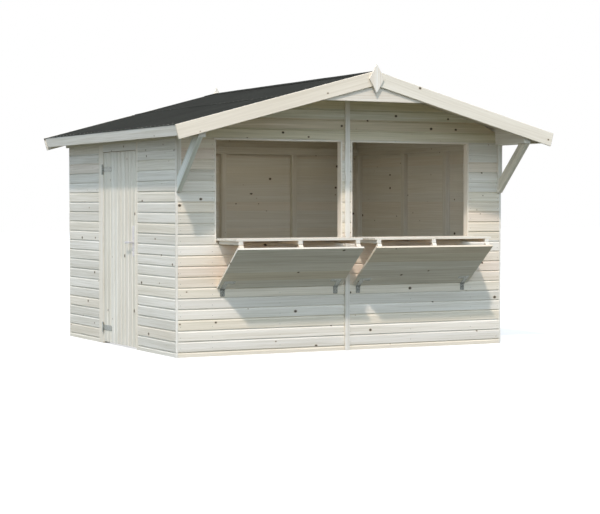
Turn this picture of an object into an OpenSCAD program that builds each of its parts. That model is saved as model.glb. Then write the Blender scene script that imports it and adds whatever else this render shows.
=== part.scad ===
// Wooden market stall with two serving openings and a side door.
// Millimetres, +Z up. The origin is on the ground under the middle of the roof plan.
// The serving front faces -Y and the door is in the -X wall.

/* [Walls] */
// width of the walls along X
wall_w = 3470; // [3000:10:4200]
// depth of the walls along Y
wall_d = 2800; // [2500:10:3400]
// height of the walls up to the eaves beams
wall_h = 1950; // [1850:10:2300]
// thickness of the wall boards
board_t = 20; // [16:1:28]
// depth of the frame behind the boards
frame_t = 50; // [40:1:80]
// width of studs, posts and rails
stud_w = 60; // [45:1:90]

/* [Serving openings] */
// height of the sill above the ground
sill_h = 1017; // [850:1:1150]
// width of the wall left of the left opening and right of the right one
side_pier = 393; // [300:1:520]
// width of the post between the openings
mullion_w = 123; // [100:1:220]
// thickness of the lining boards
lining_t = 16; // [12:1:22]
// width of the upright batten between the openings
batten_w = 48; // [38:1:60]
// how far the upright batten stands out
batten_t = 20; // [14:1:30]

/* [Counters and flaps] */
// depth of each counter in front of the wall
counter_d = 418; // [300:1:520]
// thickness of the counter boards and flap boards
counter_t = 18; // [14:1:27]
// top of the counters above the ground
counter_h = 1060; // [1045:1:1170]
// how far each counter stays inside its opening, each end
counter_gap = 3; // [2:0.5:10]
// width of the battens under the counters and on the flaps
rib_w = 45; // [35:1:60]
// height of those battens
rib_t = 33; // [24:1:36]
// how far the end battens stay in from the ends of the boards
rib_inset = 24; // [0:1:60]
// height of the flap's lower edge above the ground
flap_z = 611; // [560:1:640]

/* [Roof] */
// pitch of the roof in degrees
roof_pitch = 15; // [12:0.5:20]
// how far the roof goes past the side walls
side_over = 235; // [180:5:300]
// how far the roof goes past the front wall
front_over = 545; // [480:5:700]
// how far the roof goes past the rear wall
rear_over = 115; // [60:5:200]
// how far the front ends of the eaves beams stay behind the verges
beam_set = 30; // [0:1:40]
// top of the roof at the eaves tip
eave_h = 2048; // [1995:1:2600]
// thickness of the roof boards
roof_t = 19; // [16:1:24]
// thickness of the roofing felt
felt_t = 4; // [3:0.5:6]
// height of the verge boards
verge_h = 129; // [100:1:150]
// height of the eaves fascia boards
fascia_h = 95; // [80:1:120]
// thickness of verge and fascia boards
trim_t = 20; // [16:1:25]
// width of the ridge beam
ridge_w = 45; // [38:1:70]
// height of the ridge beam
ridge_h = 120; // [95:1:145]
// underside of the gable board between the front verges
gable_board_z = 2298; // [2260:1:2320]

/* [Braces and finials] */
// thickness of the braces under the front roof
brace_t = 45; // [35:1:60]
// width of the braces
brace_w = 90; // [70:1:110]
// height of the foot of each brace above the ground
brace_z = 1480; // [1420:1:1560]
// width of the finials
finial_w = 156; // [120:1:200]
// thickness of the finials
finial_t = 18; // [14:1:25]
// how far the finials rise above the ridge
finial_up = 64; // [50:1:100]
// how far their lower points hang below the ridge
finial_down = 204; // [160:1:240]

/* [Door] */
// distance from the front wall face to the doorway
door_y = 948; // [800:1:1050]
// width of the doorway
door_w = 862; // [760:1:940]
// height of the doorway
door_h = 1880; // [1800:1:1900]
// gap round the door leaf
door_gap = 7; // [5:0.5:12]
// gap between the door leaf and the ground
door_lift = 20; // [12:1:40]
// width of the door post on the lock side
lock_post = 40; // [28:1:60]
// width of the door post on the hinge side
hinge_post = 124; // [50:1:150]
// thickness of the ledges inside the door
ledge_t = 27; // [20:1:32]
// height of the ledges inside the door
ledge_h = 95; // [80:1:120]
// radius of the door hinge pins
pin_r = 5; // [4:0.5:6]

/* [Hidden] */
$fn = 48;
sep = 0.2;                                  // keeps pieces of one node apart
half_w = wall_w / 2;
roof_x = half_w + side_over;                // eaves tip
slope = tan(roof_pitch);
ridge_z = eave_h + roof_x * slope;
front_reach = front_over + finial_t;
rear_reach = rear_over + finial_t;
yf = -(wall_d + rear_reach - front_reach) / 2;   // front wall face
yr = yf + wall_d;                           // rear wall face
felt_v = felt_t / cos(roof_pitch);
roof_v = roof_t / cos(roof_pitch);
function top_z(x) = ridge_z - abs(x) * slope;
function deck_z(x) = top_z(x) - felt_v;
function soffit_z(x) = deck_z(x) - roof_v;
skin = 0.05;                                // keeps the felt off the boards
in_x = half_w - board_t;                    // inner face of the side boards
room_x = in_x - frame_t;                    // inner face of the frame
fy = yf + board_t;
ry = yr - board_t;
roof_y0 = yf - front_over + trim_t;         // front end of the roof boards
roof_y1 = yr + rear_over - trim_t;
edge_x = roof_x - 10;                       // outer face of the fascias
deck_x = edge_x - trim_t * cos(roof_pitch);   // upper end of the roof boards, cut square
open_x0 = mullion_w / 2;
open_x1 = half_w - side_pier;
head_z = wall_h + lining_t;
rail_h = 40;
counter_x0 = open_x0 + counter_gap;
counter_x1 = open_x1 - counter_gap;
foot_y = yf - 14;                           // lower outer edge of the flaps
// the top of each flap batten meets the outer end of a counter batten
flap_run = yf - foot_y;
flap_dy = counter_d - flap_run - 1;
flap_dz = counter_h - counter_t - rib_t - sep - flap_z;
flap_v = counter_t + rib_t;
flap_len = sqrt(flap_dy * flap_dy + flap_dz * flap_dz - flap_v * flap_v);
flap_tilt = atan2(flap_dy, flap_dz) + atan2(flap_v, flap_len);
hinge_y = yf + door_y + door_w - door_gap / 2;
hinge_x = -half_w - 10;
leaf_y0 = yf + door_y + door_gap;
leaf_y1 = yf + door_y + door_w - door_gap;
leaf_z1 = door_h - door_gap;
strap_z = [160, 1709];
strap_w = 48;                               // width of a door strap
strap_t = 4;                                // thickness of the straps and hinge plates
strap_l = 222;                              // reach of a strap from its pin
strap_neck = 14;                            // the strap narrows to its eye this near the pin
eye_h = 36;                                 // height of a strap's eye
lock_z = [875, 1165];                       // lower and upper end of the lock plates
right_studs = [935, 1770];                  // studs in the right wall, from the front face
rear_rail_up = 40;                          // the rear rail rises this far above the walls' head
felt_in = 2;

wood = [0.87, 0.85, 0.79];
shade_wood = [0.78, 0.77, 0.70];
felt_colour = [0.26, 0.26, 0.25];
zinc = [0.62, 0.63, 0.64];

// a box between two corners
module box(a, b) { translate(a) cube(b - a); }
// a profile in X and Z, from y0 to y1
module xz(y0, y1) { translate([0, y1, 0]) rotate([90, 0, 0]) linear_extrude(y1 - y0) children(); }
// a profile in Y and Z, from x0 to x1
module yz(x0, x1) { translate([x0, 0, 0]) rotate([90, 0, 90]) linear_extrude(x1 - x0) children(); }
// the left-hand copy of a right-hand piece
module left() { mirror([1, 0, 0]) children(); }

// walls
module front_wall_lower() color(wood)
  box([-in_x, yf, 0], [in_x, fy, sill_h]);
module pier() xz(yf, fy) polygon([[open_x1 + lining_t, sill_h], [in_x, sill_h], [in_x, wall_h],
  [room_x, wall_h], [room_x, head_z], [open_x1 + lining_t, head_z]]);
module front_pier_right() color(wood) pier();
module front_pier_left() color(wood) left() pier();
module front_mullion() color(wood)
  box([-open_x0 + lining_t, yf, sill_h], [open_x0 - lining_t, fy, head_z]);
module gable_profile(bottom) polygon([[-room_x, bottom], [room_x, bottom],
  [room_x, soffit_z(room_x) - skin], [0, soffit_z(0) - skin],
  [-room_x, soffit_z(room_x) - skin]]);
module ridge_slot() translate([-ridge_w / 2, soffit_z(ridge_w / 2) - ridge_h])
  square([ridge_w, 2 * ridge_h]);
module front_gable_wall() color(wood) xz(yf, fy) difference() {
  gable_profile(head_z);
  ridge_slot();
}
module rear_wall() color(wood) xz(ry, yr) difference() {
  union() {
    translate([-in_x, 0]) square([2 * in_x, wall_h]);
    gable_profile(wall_h - 1);
  }
  ridge_slot();
}
module left_wall_front() color(wood)
  box([-half_w, fy, 0], [-in_x, yf + door_y - lock_post, wall_h]);
module left_wall_rear() color(wood)
  box([-half_w, yf + door_y + door_w + hinge_post, 0], [-in_x, ry, wall_h]);
module left_wall_over_door() color(wood)
  box([-half_w, yf + door_y, door_h], [-in_x, yf + door_y + door_w, wall_h]);
module right_wall() color(wood) box([in_x, fy, 0], [half_w, ry, wall_h]);
module corner_trim(y) box([in_x, y, 0], [half_w, y + board_t, wall_h]);
module front_corner_trims() color(wood) {
  corner_trim(yf);
  left() corner_trim(yf);
}
module rear_corner_trims() color(wood) {
  corner_trim(ry);
  left() corner_trim(ry);
}

// frame inside the walls
module side_rail(y0, y1, z0, z1) box([room_x, y0 + sep, z0], [in_x, y1 - sep, z1]);
door_front = yf + door_y - lock_post;
door_rear = yf + door_y + door_w + hinge_post;
module bottom_rails() color(shade_wood) {
  box([-in_x, fy, 0], [in_x, fy + frame_t, stud_w]);
  box([-in_x, ry - frame_t, 0], [in_x, ry, stud_w]);
  side_rail(fy + frame_t, ry - frame_t, 0, stud_w);
  left() side_rail(fy + frame_t, door_front, 0, stud_w);
  left() side_rail(door_rear, ry - frame_t, 0, stud_w);
}
module top_rails() color(shade_wood) {
  box([-in_x + stud_w, ry - frame_t, wall_h - rail_h], [in_x - stud_w, ry, wall_h + rear_rail_up]);
  side_rail(fy + frame_t, ry - frame_t, wall_h - rail_h, wall_h);
  left() side_rail(fy + frame_t, door_front, wall_h - rail_h, wall_h);
  left() side_rail(door_rear, ry - frame_t, wall_h - rail_h, wall_h);
  left() side_rail(door_front + lock_post, door_rear - hinge_post, door_h, wall_h);
}
module front_wall_posts() color(shade_wood) {
  for (side = [0, 1]) mirror([side, 0, 0]) {
    box([in_x - stud_w, fy, stud_w], [in_x, fy + frame_t, wall_h]);
    box([open_x1 + lining_t, fy, sill_h], [open_x1 + lining_t + stud_w, fy + frame_t, head_z]);
  }
  box([-open_x0 + lining_t, fy, sill_h], [open_x0 - lining_t, fy + frame_t, head_z]);
  box([-in_x + stud_w + sep, fy, sill_h - stud_w],
      [in_x - stud_w - sep, fy + frame_t, sill_h - sep]);
}
module front_header() color(shade_wood)
  box([-room_x, fy, head_z], [room_x, fy + frame_t, head_z + 70]);
module rear_wall_studs() color(shade_wood) {
  for (x = [-in_x / 2 - stud_w / 2, -stud_w / 2, in_x / 2 - stud_w / 2])
    box([x, ry - frame_t, stud_w], [x + stud_w, ry, wall_h - rail_h]);
  for (side = [0, 1]) mirror([side, 0, 0])
    box([in_x - stud_w, ry - frame_t, stud_w], [in_x, ry, wall_h]);
}
module side_stud(y) box([room_x, y - stud_w / 2, stud_w], [in_x, y + stud_w / 2, wall_h - rail_h]);
module right_wall_studs() color(shade_wood) for (k = right_studs) side_stud(yf + k);
module left_wall_studs() color(shade_wood) left() {
  side_stud((fy + door_front) / 2);
  side_stud((door_rear + ry) / 2);
}

// roof
module eaves_beam() xz(roof_y0 + beam_set, roof_y1) polygon([[room_x, wall_h], [half_w, wall_h],
  [half_w, soffit_z(half_w) - skin], [room_x, soffit_z(room_x) - skin]]);
module right_eaves_beam() color(wood) eaves_beam();
module left_eaves_beam() color(wood) left() eaves_beam();
module ridge_beam() color(wood) xz(roof_y0 + trim_t, roof_y1) polygon([
  [-ridge_w / 2, soffit_z(ridge_w / 2) - ridge_h], [ridge_w / 2, soffit_z(ridge_w / 2) - ridge_h],
  [ridge_w / 2, soffit_z(ridge_w / 2)], [0, soffit_z(0)], [-ridge_w / 2, soffit_z(ridge_w / 2)]]);
// a point below the top of the roof boards at x, measured square to the slope
function below(x, d) = [x - d * sin(roof_pitch), deck_z(x) - d * cos(roof_pitch)];
module roof_boards() xz(roof_y0, roof_y1)
  polygon([[0, soffit_z(0)], below(deck_x - skin, roof_t), below(deck_x - skin, 0), [0, deck_z(0)]]);
module right_roof_boards() color(wood) roof_boards();
module left_roof_boards() color(wood) left() roof_boards();
module roof_felt() xz(roof_y0, roof_y1)
  polygon([[0, deck_z(0) + skin], [edge_x + felt_in, deck_z(edge_x + felt_in) + skin],
    [edge_x + felt_in, top_z(edge_x + felt_in)], [0, top_z(0)]]);
module right_roof_felt() color(felt_colour) roof_felt();
module left_roof_felt() color(felt_colour) left() roof_felt();
module fascia() xz(roof_y0, roof_y1) polygon([below(deck_x, fascia_h), below(edge_x, fascia_h),
  below(edge_x, 0), below(deck_x, 0)]);
module right_fascia() color(wood) fascia();
module left_fascia() color(wood) left() fascia();
module verge() polygon([[0, top_z(0)], [roof_x, top_z(roof_x)],
  [roof_x - verge_h * sin(roof_pitch), top_z(roof_x) - verge_h * cos(roof_pitch)],
  [0, top_z(0) - verge_h / cos(roof_pitch)]]);
module front_verge_right() color(wood) xz(roof_y0 - trim_t, roof_y0) verge();
module front_verge_left() color(wood) left() xz(roof_y0 - trim_t, roof_y0) verge();
module rear_verge_boards() color(wood) for (side = [0, 1]) mirror([side, 0, 0])
  xz(roof_y1, roof_y1 + trim_t) translate([sep / 2, 0]) verge();
finial_wide = 74;                           // drop from the ridge to the widest point
module finial() polygon([[0, ridge_z + finial_up], [finial_w / 2, ridge_z - finial_wide],
  [0, ridge_z - finial_down], [-finial_w / 2, ridge_z - finial_wide]]);
module front_finial() color(wood) xz(roof_y0 - trim_t - finial_t, roof_y0 - trim_t) finial();
module rear_finial() color(wood) xz(roof_y1 + trim_t, roof_y1 + trim_t + finial_t) finial();
gable_board_x = 620;
module front_gable_board() color(wood) xz(roof_y0, roof_y0 + trim_t) polygon([
  [-gable_board_x, gable_board_z], [gable_board_x, gable_board_z],
  [gable_board_x, soffit_z(gable_board_x) - skin], [0, soffit_z(0) - skin],
  [-gable_board_x, soffit_z(gable_board_x) - skin]]);

// braces under the front of the roof
cleat_y = yf - batten_t;
module brace() yz(half_w - brace_t, half_w) {
  run = wall_h - brace_z;
  w = brace_w * sqrt(2);
  polygon([[cleat_y, brace_z], [cleat_y - run, wall_h], [cleat_y - run + w, wall_h],
    [cleat_y, brace_z + w]]);
}
module right_brace() color(wood) brace();
module left_brace() color(wood) left() brace();
module brace_cleats() color(wood) for (side = [0, 1]) mirror([side, 0, 0])
  box([half_w - brace_t, cleat_y, brace_z], [half_w, yf, wall_h]);

// front trim
module centre_batten() color(wood)
  box([-batten_w / 2, yf - batten_t, 0], [batten_w / 2, yf, soffit_z(ridge_w / 2) - ridge_h]);
module opening_lining() {
  box([open_x1, yf, sill_h], [open_x1 + lining_t, fy + frame_t, wall_h - sep]);
  box([open_x0 - lining_t, yf, sill_h], [open_x0, fy + frame_t, wall_h - sep]);
  box([open_x0 - lining_t, yf, wall_h], [open_x1 + lining_t, fy + frame_t, head_z]);
}
module right_opening_lining() color(wood) opening_lining();
module left_opening_lining() color(wood) left() opening_lining();

// counters and flaps
ribs = [counter_x0 + rib_inset, (counter_x0 + counter_x1 - rib_w) / 2,
  counter_x1 - rib_inset - rib_w];
module counter() {
  box([counter_x0, yf - counter_d, counter_h - counter_t],
      [counter_x1, fy + frame_t, counter_h]);
  for (x = ribs) box([x, yf - counter_d, counter_h - counter_t - rib_t],
    [x + rib_w, yf, counter_h - counter_t - sep]);
  box([counter_x0, fy, sill_h], [counter_x1, fy + frame_t, counter_h - counter_t - sep]);
}
module right_counter() color(wood) counter();
module left_counter() color(wood) left() counter();
// the flap's own frame: u runs up along it, v goes from its outer face towards the wall
module flap_frame() translate([0, foot_y, flap_z]) rotate([flap_tilt, 0, 0]) children();
module flap() flap_frame() {
  box([counter_x0, 0, 0], [counter_x1, counter_t, flap_len]);
  for (x = ribs) box([x, counter_t + sep, 60], [x + rib_w, counter_t + rib_t, flap_len]);
}
module right_flap() color(wood) flap();
module left_flap() color(wood) left() flap();
hinge_leaf_w = 45;
hinge_t = 3;
hinge_inset = 34;                           // from the end of the board to the hinge
strap_u = [66, 100];                        // the cross strap, up along the flap
strap_len = 115;
knuckle_r = 6;
module flap_hinge(x) {
  box([x, yf - hinge_t, flap_z - 75], [x + hinge_leaf_w, yf, flap_z - 8]);
  translate([x, yf - 7, flap_z - 10]) rotate([0, 90, 0])
    cylinder(r = knuckle_r, h = hinge_leaf_w);
  flap_frame() box([x, -hinge_t, -8], [x + hinge_leaf_w, 0, strap_u[0] + 1]);
  flap_frame() box([x, -hinge_t, strap_u[0]], [x + strap_len, 0, strap_u[1]]);
}
module flap_hinges() {
  flap_hinge(counter_x0 + hinge_inset);
  translate([counter_x0 + counter_x1, 0, 0]) left() flap_hinge(counter_x0 + hinge_inset);
}
module right_flap_hinges() color(zinc) flap_hinges();
module left_flap_hinges() color(zinc) left() flap_hinges();

// door
module door_posts() color(wood) {
  box([-half_w, yf + door_y - lock_post, 0], [-room_x, yf + door_y, wall_h]);
  box([-half_w, yf + door_y + door_w, 0],
      [-room_x, yf + door_y + door_w + hinge_post, wall_h]);
}
module door_leaf() color(wood)
  box([-half_w, leaf_y0, door_lift], [-in_x, leaf_y1, leaf_z1]);
module door_ledges() color(shade_wood) for (z = [150, 720, 1650])
  box([-in_x, leaf_y0 + 30, z], [-in_x + ledge_t, leaf_y1 - 40, z + ledge_h]);
module door_lock() color(zinc) {
  y = leaf_y0 + 60;
  for (side = [0, 1]) {
    x = side == 0 ? -half_w - 3 : -in_x;
    box([x, y - 21, lock_z[0]], [x + 3, y + 21, lock_z[1]]);
    grip = side == 0 ? -half_w - 48 : -in_x + 48;
    translate([min(grip, x + 1.5), y, 1010]) rotate([0, 90, 0])
      cylinder(r = 8, h = abs(grip - x - 1.5));
    box([grip - 6, y - 10, 1000], [grip + 6, y + 120, 1020]);
  }
}
module door_straps() color(zinc) for (z = strap_z) difference() {
  union() {
    box([-half_w - strap_t, hinge_y - strap_l, z - strap_w / 2],
        [-half_w, hinge_y - strap_neck, z + strap_w / 2]);
    box([-half_w - strap_t, hinge_y - strap_neck - 1, z - eye_h / 2],
        [-half_w, hinge_y - 5, z + eye_h / 2]);
    box([hinge_x, hinge_y - 9, z - eye_h / 2], [-half_w - 1, hinge_y - 4, z + eye_h / 2]);
    translate([hinge_x, hinge_y, z - eye_h / 2]) cylinder(r = pin_r + 3, h = eye_h);
  }
  translate([hinge_x, hinge_y, z - 20]) cylinder(r = pin_r + 0.3, h = 40);
}
module door_hinge_plates() color(zinc) for (z = strap_z) {
  box([-half_w - strap_t, hinge_y + 9, z - 50], [-half_w, hinge_y + 33, z + 50]);
  for (k = [-1, 1]) {
    translate([hinge_x, hinge_y, z + k * 34 - 15]) cylinder(r = pin_r + 3, h = 30);
    box([hinge_x, hinge_y + 3, z + k * 34 - 15], [-half_w - 1, hinge_y + 11, z + k * 34 + 15]);
  }
  translate([hinge_x, hinge_y, z - 45]) cylinder(r = pin_r, h = 90);
}

front_wall_lower();
front_pier_left();
front_pier_right();
front_mullion();
front_gable_wall();
rear_wall();
left_wall_front();
left_wall_rear();
left_wall_over_door();
right_wall();
front_corner_trims();
rear_corner_trims();
bottom_rails();
top_rails();
front_wall_posts();
front_header();
rear_wall_studs();
right_wall_studs();
left_wall_studs();
left_eaves_beam();
right_eaves_beam();
ridge_beam();
left_roof_boards();
right_roof_boards();
left_roof_felt();
right_roof_felt();
left_fascia();
right_fascia();
front_verge_left();
front_verge_right();
rear_verge_boards();
front_finial();
rear_finial();
front_gable_board();
left_brace();
right_brace();
brace_cleats();
centre_batten();
left_opening_lining();
right_opening_lining();
left_counter();
left_flap();
left_flap_hinges();
right_counter();
right_flap();
right_flap_hinges();
door_posts();
door_leaf();
door_ledges();
door_lock();
door_straps();
door_hinge_plates();
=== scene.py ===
"""Visual model of a wooden market stall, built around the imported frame.

Metres, +Z up, the serving front faces -Y and the side door is in the -X wall. Every piece is a
numpy surface placed from the boxes of the frame's nodes, with a procedural finish of its own.
"""

import logging
import math
from dataclasses import dataclass
from dataclasses import field
from enum import Enum
from functools import partial
from typing import Callable
from typing import Sequence

import bmesh
import bpy
import numpy as np
from mathutils import Euler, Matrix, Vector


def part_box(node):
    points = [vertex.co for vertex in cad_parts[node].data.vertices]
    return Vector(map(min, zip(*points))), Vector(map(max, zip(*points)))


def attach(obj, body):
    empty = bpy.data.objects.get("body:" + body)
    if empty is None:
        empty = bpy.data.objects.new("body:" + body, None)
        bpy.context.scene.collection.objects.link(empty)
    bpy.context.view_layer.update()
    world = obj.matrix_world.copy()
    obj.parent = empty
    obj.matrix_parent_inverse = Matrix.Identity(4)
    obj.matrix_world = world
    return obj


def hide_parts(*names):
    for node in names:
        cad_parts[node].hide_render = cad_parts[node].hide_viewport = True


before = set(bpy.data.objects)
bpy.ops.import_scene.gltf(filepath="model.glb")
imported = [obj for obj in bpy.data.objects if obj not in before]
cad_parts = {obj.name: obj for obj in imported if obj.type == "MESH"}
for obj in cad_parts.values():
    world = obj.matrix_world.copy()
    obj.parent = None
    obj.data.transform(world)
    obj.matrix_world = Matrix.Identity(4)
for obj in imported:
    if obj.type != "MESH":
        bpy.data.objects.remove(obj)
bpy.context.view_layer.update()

LOG = logging.getLogger("market_stall")

Colour = tuple[float, float, float, float]
Limits = Callable[[np.ndarray], tuple[np.ndarray, np.ndarray]]
Socket = bpy.types.NodeSocket

ROOF_PITCH = math.radians(15.0)
ROOF_FALL = math.tan(ROOF_PITCH)            # drop of the roof for each metre out
BOARD_PITCH = 0.096                         # cover width of one wall board
FIRST_JOINT = 0.0493                        # height of the lowest joint above the ground
EASE = 0.0025                               # planed-off edge of a timber
UNTURNED = (0.0, 0.0, 0.0)
OUT_OF_FRONT = (math.pi / 2.0, 0.0, 0.0)    # turn that makes a fitting stand out to -Y
OUT_OF_LEFT = (0.0, -math.pi / 2.0, 0.0)    # turn that makes a fitting stand out to -X
STALL = "stall"
DOOR = "door"


class Axis(Enum):
    """One axis of the frame."""

    X = 0
    Y = 1
    Z = 2


def linear(code: str) -> Colour:
    """Turn an sRGB hex colour into linear light.

    Args:
        code: Six hex digits, such as "E6E0D0".

    Returns:
        Red, green, blue and an alpha of 1, linear.
    """
    srgb = [int(code[i : i + 2], 16) / 255.0 for i in (0, 2, 4)]
    light = [c / 12.92 if c <= 0.04045 else ((c + 0.055) / 1.055) ** 2.4 for c in srgb]
    return (light[0], light[1], light[2], 1.0)


def per_metre(size: float) -> float:
    """Turn the real size of a pattern's feature into repeats per metre.

    Args:
        size: Size in millimetres.

    Returns:
        Repeats per metre.
    """
    return 1000.0 / size


def new_material(name: str) -> tuple[bpy.types.Material, bpy.types.NodeTree]:
    """Start a material with an empty node tree.

    Args:
        name: Name of the material.

    Returns:
        The material and its tree.
    """
    material = bpy.data.materials.new(name)
    material.use_nodes = True
    material.node_tree.nodes.clear()
    return material, material.node_tree


def add_node(tree: bpy.types.NodeTree, kind: str, links: dict[int | str, object] | None = None,
             **settings: object) -> bpy.types.Node:
    """Add one shader node with its settings, values and links.

    Args:
        tree: The node tree it goes into.
        kind: Blender's name of the node type, without "ShaderNode".
        links: Input name or number to an output socket or a plain value.
        **settings: Attributes of the node, such as operation="ADD".

    Returns:
        The new node.
    """
    node = tree.nodes.new("ShaderNode" + kind)
    for name, value in settings.items():
        setattr(node, name, value)
    for key, value in (links or {}).items():
        if isinstance(value, bpy.types.NodeSocket):
            tree.links.new(value, node.inputs[key])
        else:
            node.inputs[key].default_value = value
    return node


def set_ramp(node: bpy.types.Node, stops: Sequence[tuple[float, Colour]]) -> None:
    """Give a colour ramp its stops.

    Args:
        node: A ValToRGB node, which starts with two stops.
        stops: Position and linear colour of each stop, in rising order.
    """
    elements = node.color_ramp.elements
    while len(elements) < len(stops):
        elements.new(0.5)
    for element, (position, colour) in zip(elements, stops):
        element.position = position
        element.color = colour


# ---------------------------------------------------------------- finishes


@dataclass(frozen=True)
class Spruce:
    """Planed, untreated spruce: pale cream, soft grain streaks, small dark knots.

    Attributes:
        name: Name of the material.
        grain: Axis along the boards, after the turn.
        across: Axis across the boards, after the turn.
        turn: Euler turn that brings a sloping piece's grain onto the axis.
        pitch: Width of one board, or 0 where the piece is a single board.
        phase: Where a board joint lies on the across axis.
        seed: Shifts the pattern so that no two pieces match.
        knots: Share of the knot cells that hold a knot.
        light: Early wood.
        dark: Late wood.
        vary: How much the boards differ from each other, from 0 to 1.
    """

    name: str
    grain: Axis = Axis.X
    across: Axis = Axis.Z
    turn: tuple[float, float, float] = (0.0, 0.0, 0.0)
    pitch: float = 0.0
    phase: float = 0.0
    seed: float = 0.0
    knots: float = 0.75
    light: str = "ECE8DE"
    dark: str = "D8D2C4"
    vary: float = 0.75

    def material(self) -> bpy.types.Material:
        """Build the wood as nodes on Object coordinates.

        Returns:
            The material.
        """
        mat, tree = new_material(self.name)
        across, along, through, chance = self._coordinates(tree)
        # the grain wanders by 5 to 10 mm over a metre
        warp = add_node(tree, "TexNoise", {
            "Vector": self._vector(tree, along, across, through, 1100.0, 140.0),
            "Scale": 1.0, "Detail": 2.0, "Roughness": 0.5})
        bend = add_node(tree, "Math", {0: warp.outputs["Fac"], 1: 0.045, 2: -0.022},
                        operation="MULTIPLY_ADD")
        bent = add_node(tree, "Math", {0: across, 1: bend.outputs[0]}, operation="ADD").outputs[0]
        # growth rings cut lengthwise: real lines are 2 to 4 mm apart, drawn at about 11 mm to show
        streak = add_node(tree, "TexNoise", {
            "Vector": self._vector(tree, along, bent, through, 670.0, 11.0),
            "Scale": 1.0, "Detail": 4.0, "Roughness": 0.62})
        # early and late growth of several years make bands about 65 mm wide
        band = add_node(tree, "TexNoise", {
            "Vector": self._vector(tree, along, bent, through, 1800.0, 65.0),
            "Scale": 1.0, "Detail": 2.0, "Roughness": 0.5})
        tone = add_node(tree, "Math", {0: streak.outputs["Fac"], 1: 0.62,
                                       2: add_node(tree, "Math", {0: band.outputs["Fac"], 1: 0.38},
                                                   operation="MULTIPLY").outputs[0]},
                        operation="MULTIPLY_ADD")
        ramp = add_node(tree, "ValToRGB", {"Fac": tone.outputs[0]})
        set_ramp(ramp, [(0.36, linear(self.dark)), (0.56, linear(self.light)),
                        (0.72, linear("F2F0E9"))])
        tinted = self._board_tint(tree, ramp.outputs["Color"], chance)
        core, halo = self._knot_masks(tree, along, across)
        ringed = add_node(tree, "MixRGB", {"Fac": halo, "Color1": tinted, "Color2": linear("BBA586")})
        spotted = add_node(tree, "MixRGB", {"Fac": core, "Color1": ringed.outputs[0],
                                            "Color2": linear("423B2F")})
        rough = add_node(tree, "MapRange", {"Value": streak.outputs["Fac"], "From Min": 0.3,
                                            "From Max": 0.7, "To Min": 0.72, "To Max": 0.58})
        bump = add_node(tree, "Bump", {"Height": streak.outputs["Fac"], "Strength": 0.22,
                                       "Distance": 0.0012})
        shader = add_node(tree, "BsdfPrincipled", {
            "Base Color": spotted.outputs[0], "Roughness": rough.outputs[0],
            "Normal": bump.outputs[0], "Specular IOR Level": 0.3})
        add_node(tree, "OutputMaterial", {"Surface": shader.outputs[0]})
        return mat

    def _coordinates(self, tree: bpy.types.NodeTree) -> tuple[Socket, Socket, Socket, Socket]:
        """Find the place across, along and through the board, shifted board by board.

        Args:
            tree: The material's node tree.

        Returns:
            Sockets for across, along and through, in metres, and the board's chance colour.
        """
        place = add_node(tree, "TexCoord")
        turned = add_node(tree, "Mapping", {"Vector": place.outputs["Object"], "Rotation": self.turn})
        parts = add_node(tree, "SeparateXYZ", {0: turned.outputs[0]})
        third = 3 - self.grain.value - self.across.value
        across = parts.outputs[self.across.value]
        number: float | Socket = 0.0
        if self.pitch > 0.0:
            above = add_node(tree, "Math", {0: across, 1: self.phase}, operation="SUBTRACT")
            boards = add_node(tree, "Math", {0: above.outputs[0], 1: self.pitch}, operation="DIVIDE")
            number = add_node(tree, "Math", {0: boards.outputs[0]}, operation="FLOOR").outputs[0]
        # the seed keeps the board numbers of two pieces apart
        key = add_node(tree, "Math", {0: number, 1: self.seed * 17.31 + 0.37}, operation="ADD")
        chance = add_node(tree, "TexWhiteNoise", {"W": key.outputs[0]}, noise_dimensions="1D")
        # each board starts at its own place in a pattern 23 m long and 5 m across
        along = add_node(tree, "Math", {0: chance.outputs["Value"], 1: 23.0,
                                        2: parts.outputs[self.grain.value]}, operation="MULTIPLY_ADD")
        shifted = add_node(tree, "Math", {0: chance.outputs["Value"], 1: 5.0, 2: across},
                           operation="MULTIPLY_ADD")
        return shifted.outputs[0], along.outputs[0], parts.outputs[third], chance.outputs["Color"]

    @staticmethod
    def _vector(tree: bpy.types.NodeTree, along: Socket, across: Socket, through: Socket | float,
                length: float, width: float) -> Socket:
        """Join three sockets into a scaled vector.

        Args:
            tree: The material's node tree.
            along: Socket along the grain.
            across: Socket across the grain.
            through: Socket through the board.
            length: Length of the pattern's feature along the grain, in millimetres.
            width: Its width across the grain, in millimetres.

        Returns:
            The vector socket.
        """
        scale = (per_metre(length), per_metre(width), per_metre(width))
        joined = add_node(tree, "CombineXYZ", {0: along, 1: across, 2: through})
        return add_node(tree, "VectorMath", {0: joined.outputs[0], 1: scale},
                        operation="MULTIPLY").outputs[0]

    def _board_tint(self, tree: bpy.types.NodeTree, colour: Socket, chance: Socket) -> Socket:
        """Tint each board a little cream, pink or grey, by its chance number.

        Args:
            tree: The material's node tree.
            colour: The grain's colour.
            chance: The board's chance colour.

        Returns:
            The tinted colour socket.
        """
        parts = add_node(tree, "SeparateColor", {0: chance})
        ramp = add_node(tree, "ValToRGB", {"Fac": parts.outputs[1]})
        set_ramp(ramp, [(0.0, linear("E6E4DF")), (0.35, linear("FFFFFF")), (0.7, linear("FBF4E6")),
                        (1.0, linear("F8E9DE"))])
        return add_node(tree, "MixRGB", {"Fac": self.vary, "Color1": colour, "Color2": ramp.outputs[0]},
                        blend_type="MULTIPLY").outputs[0]

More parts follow.
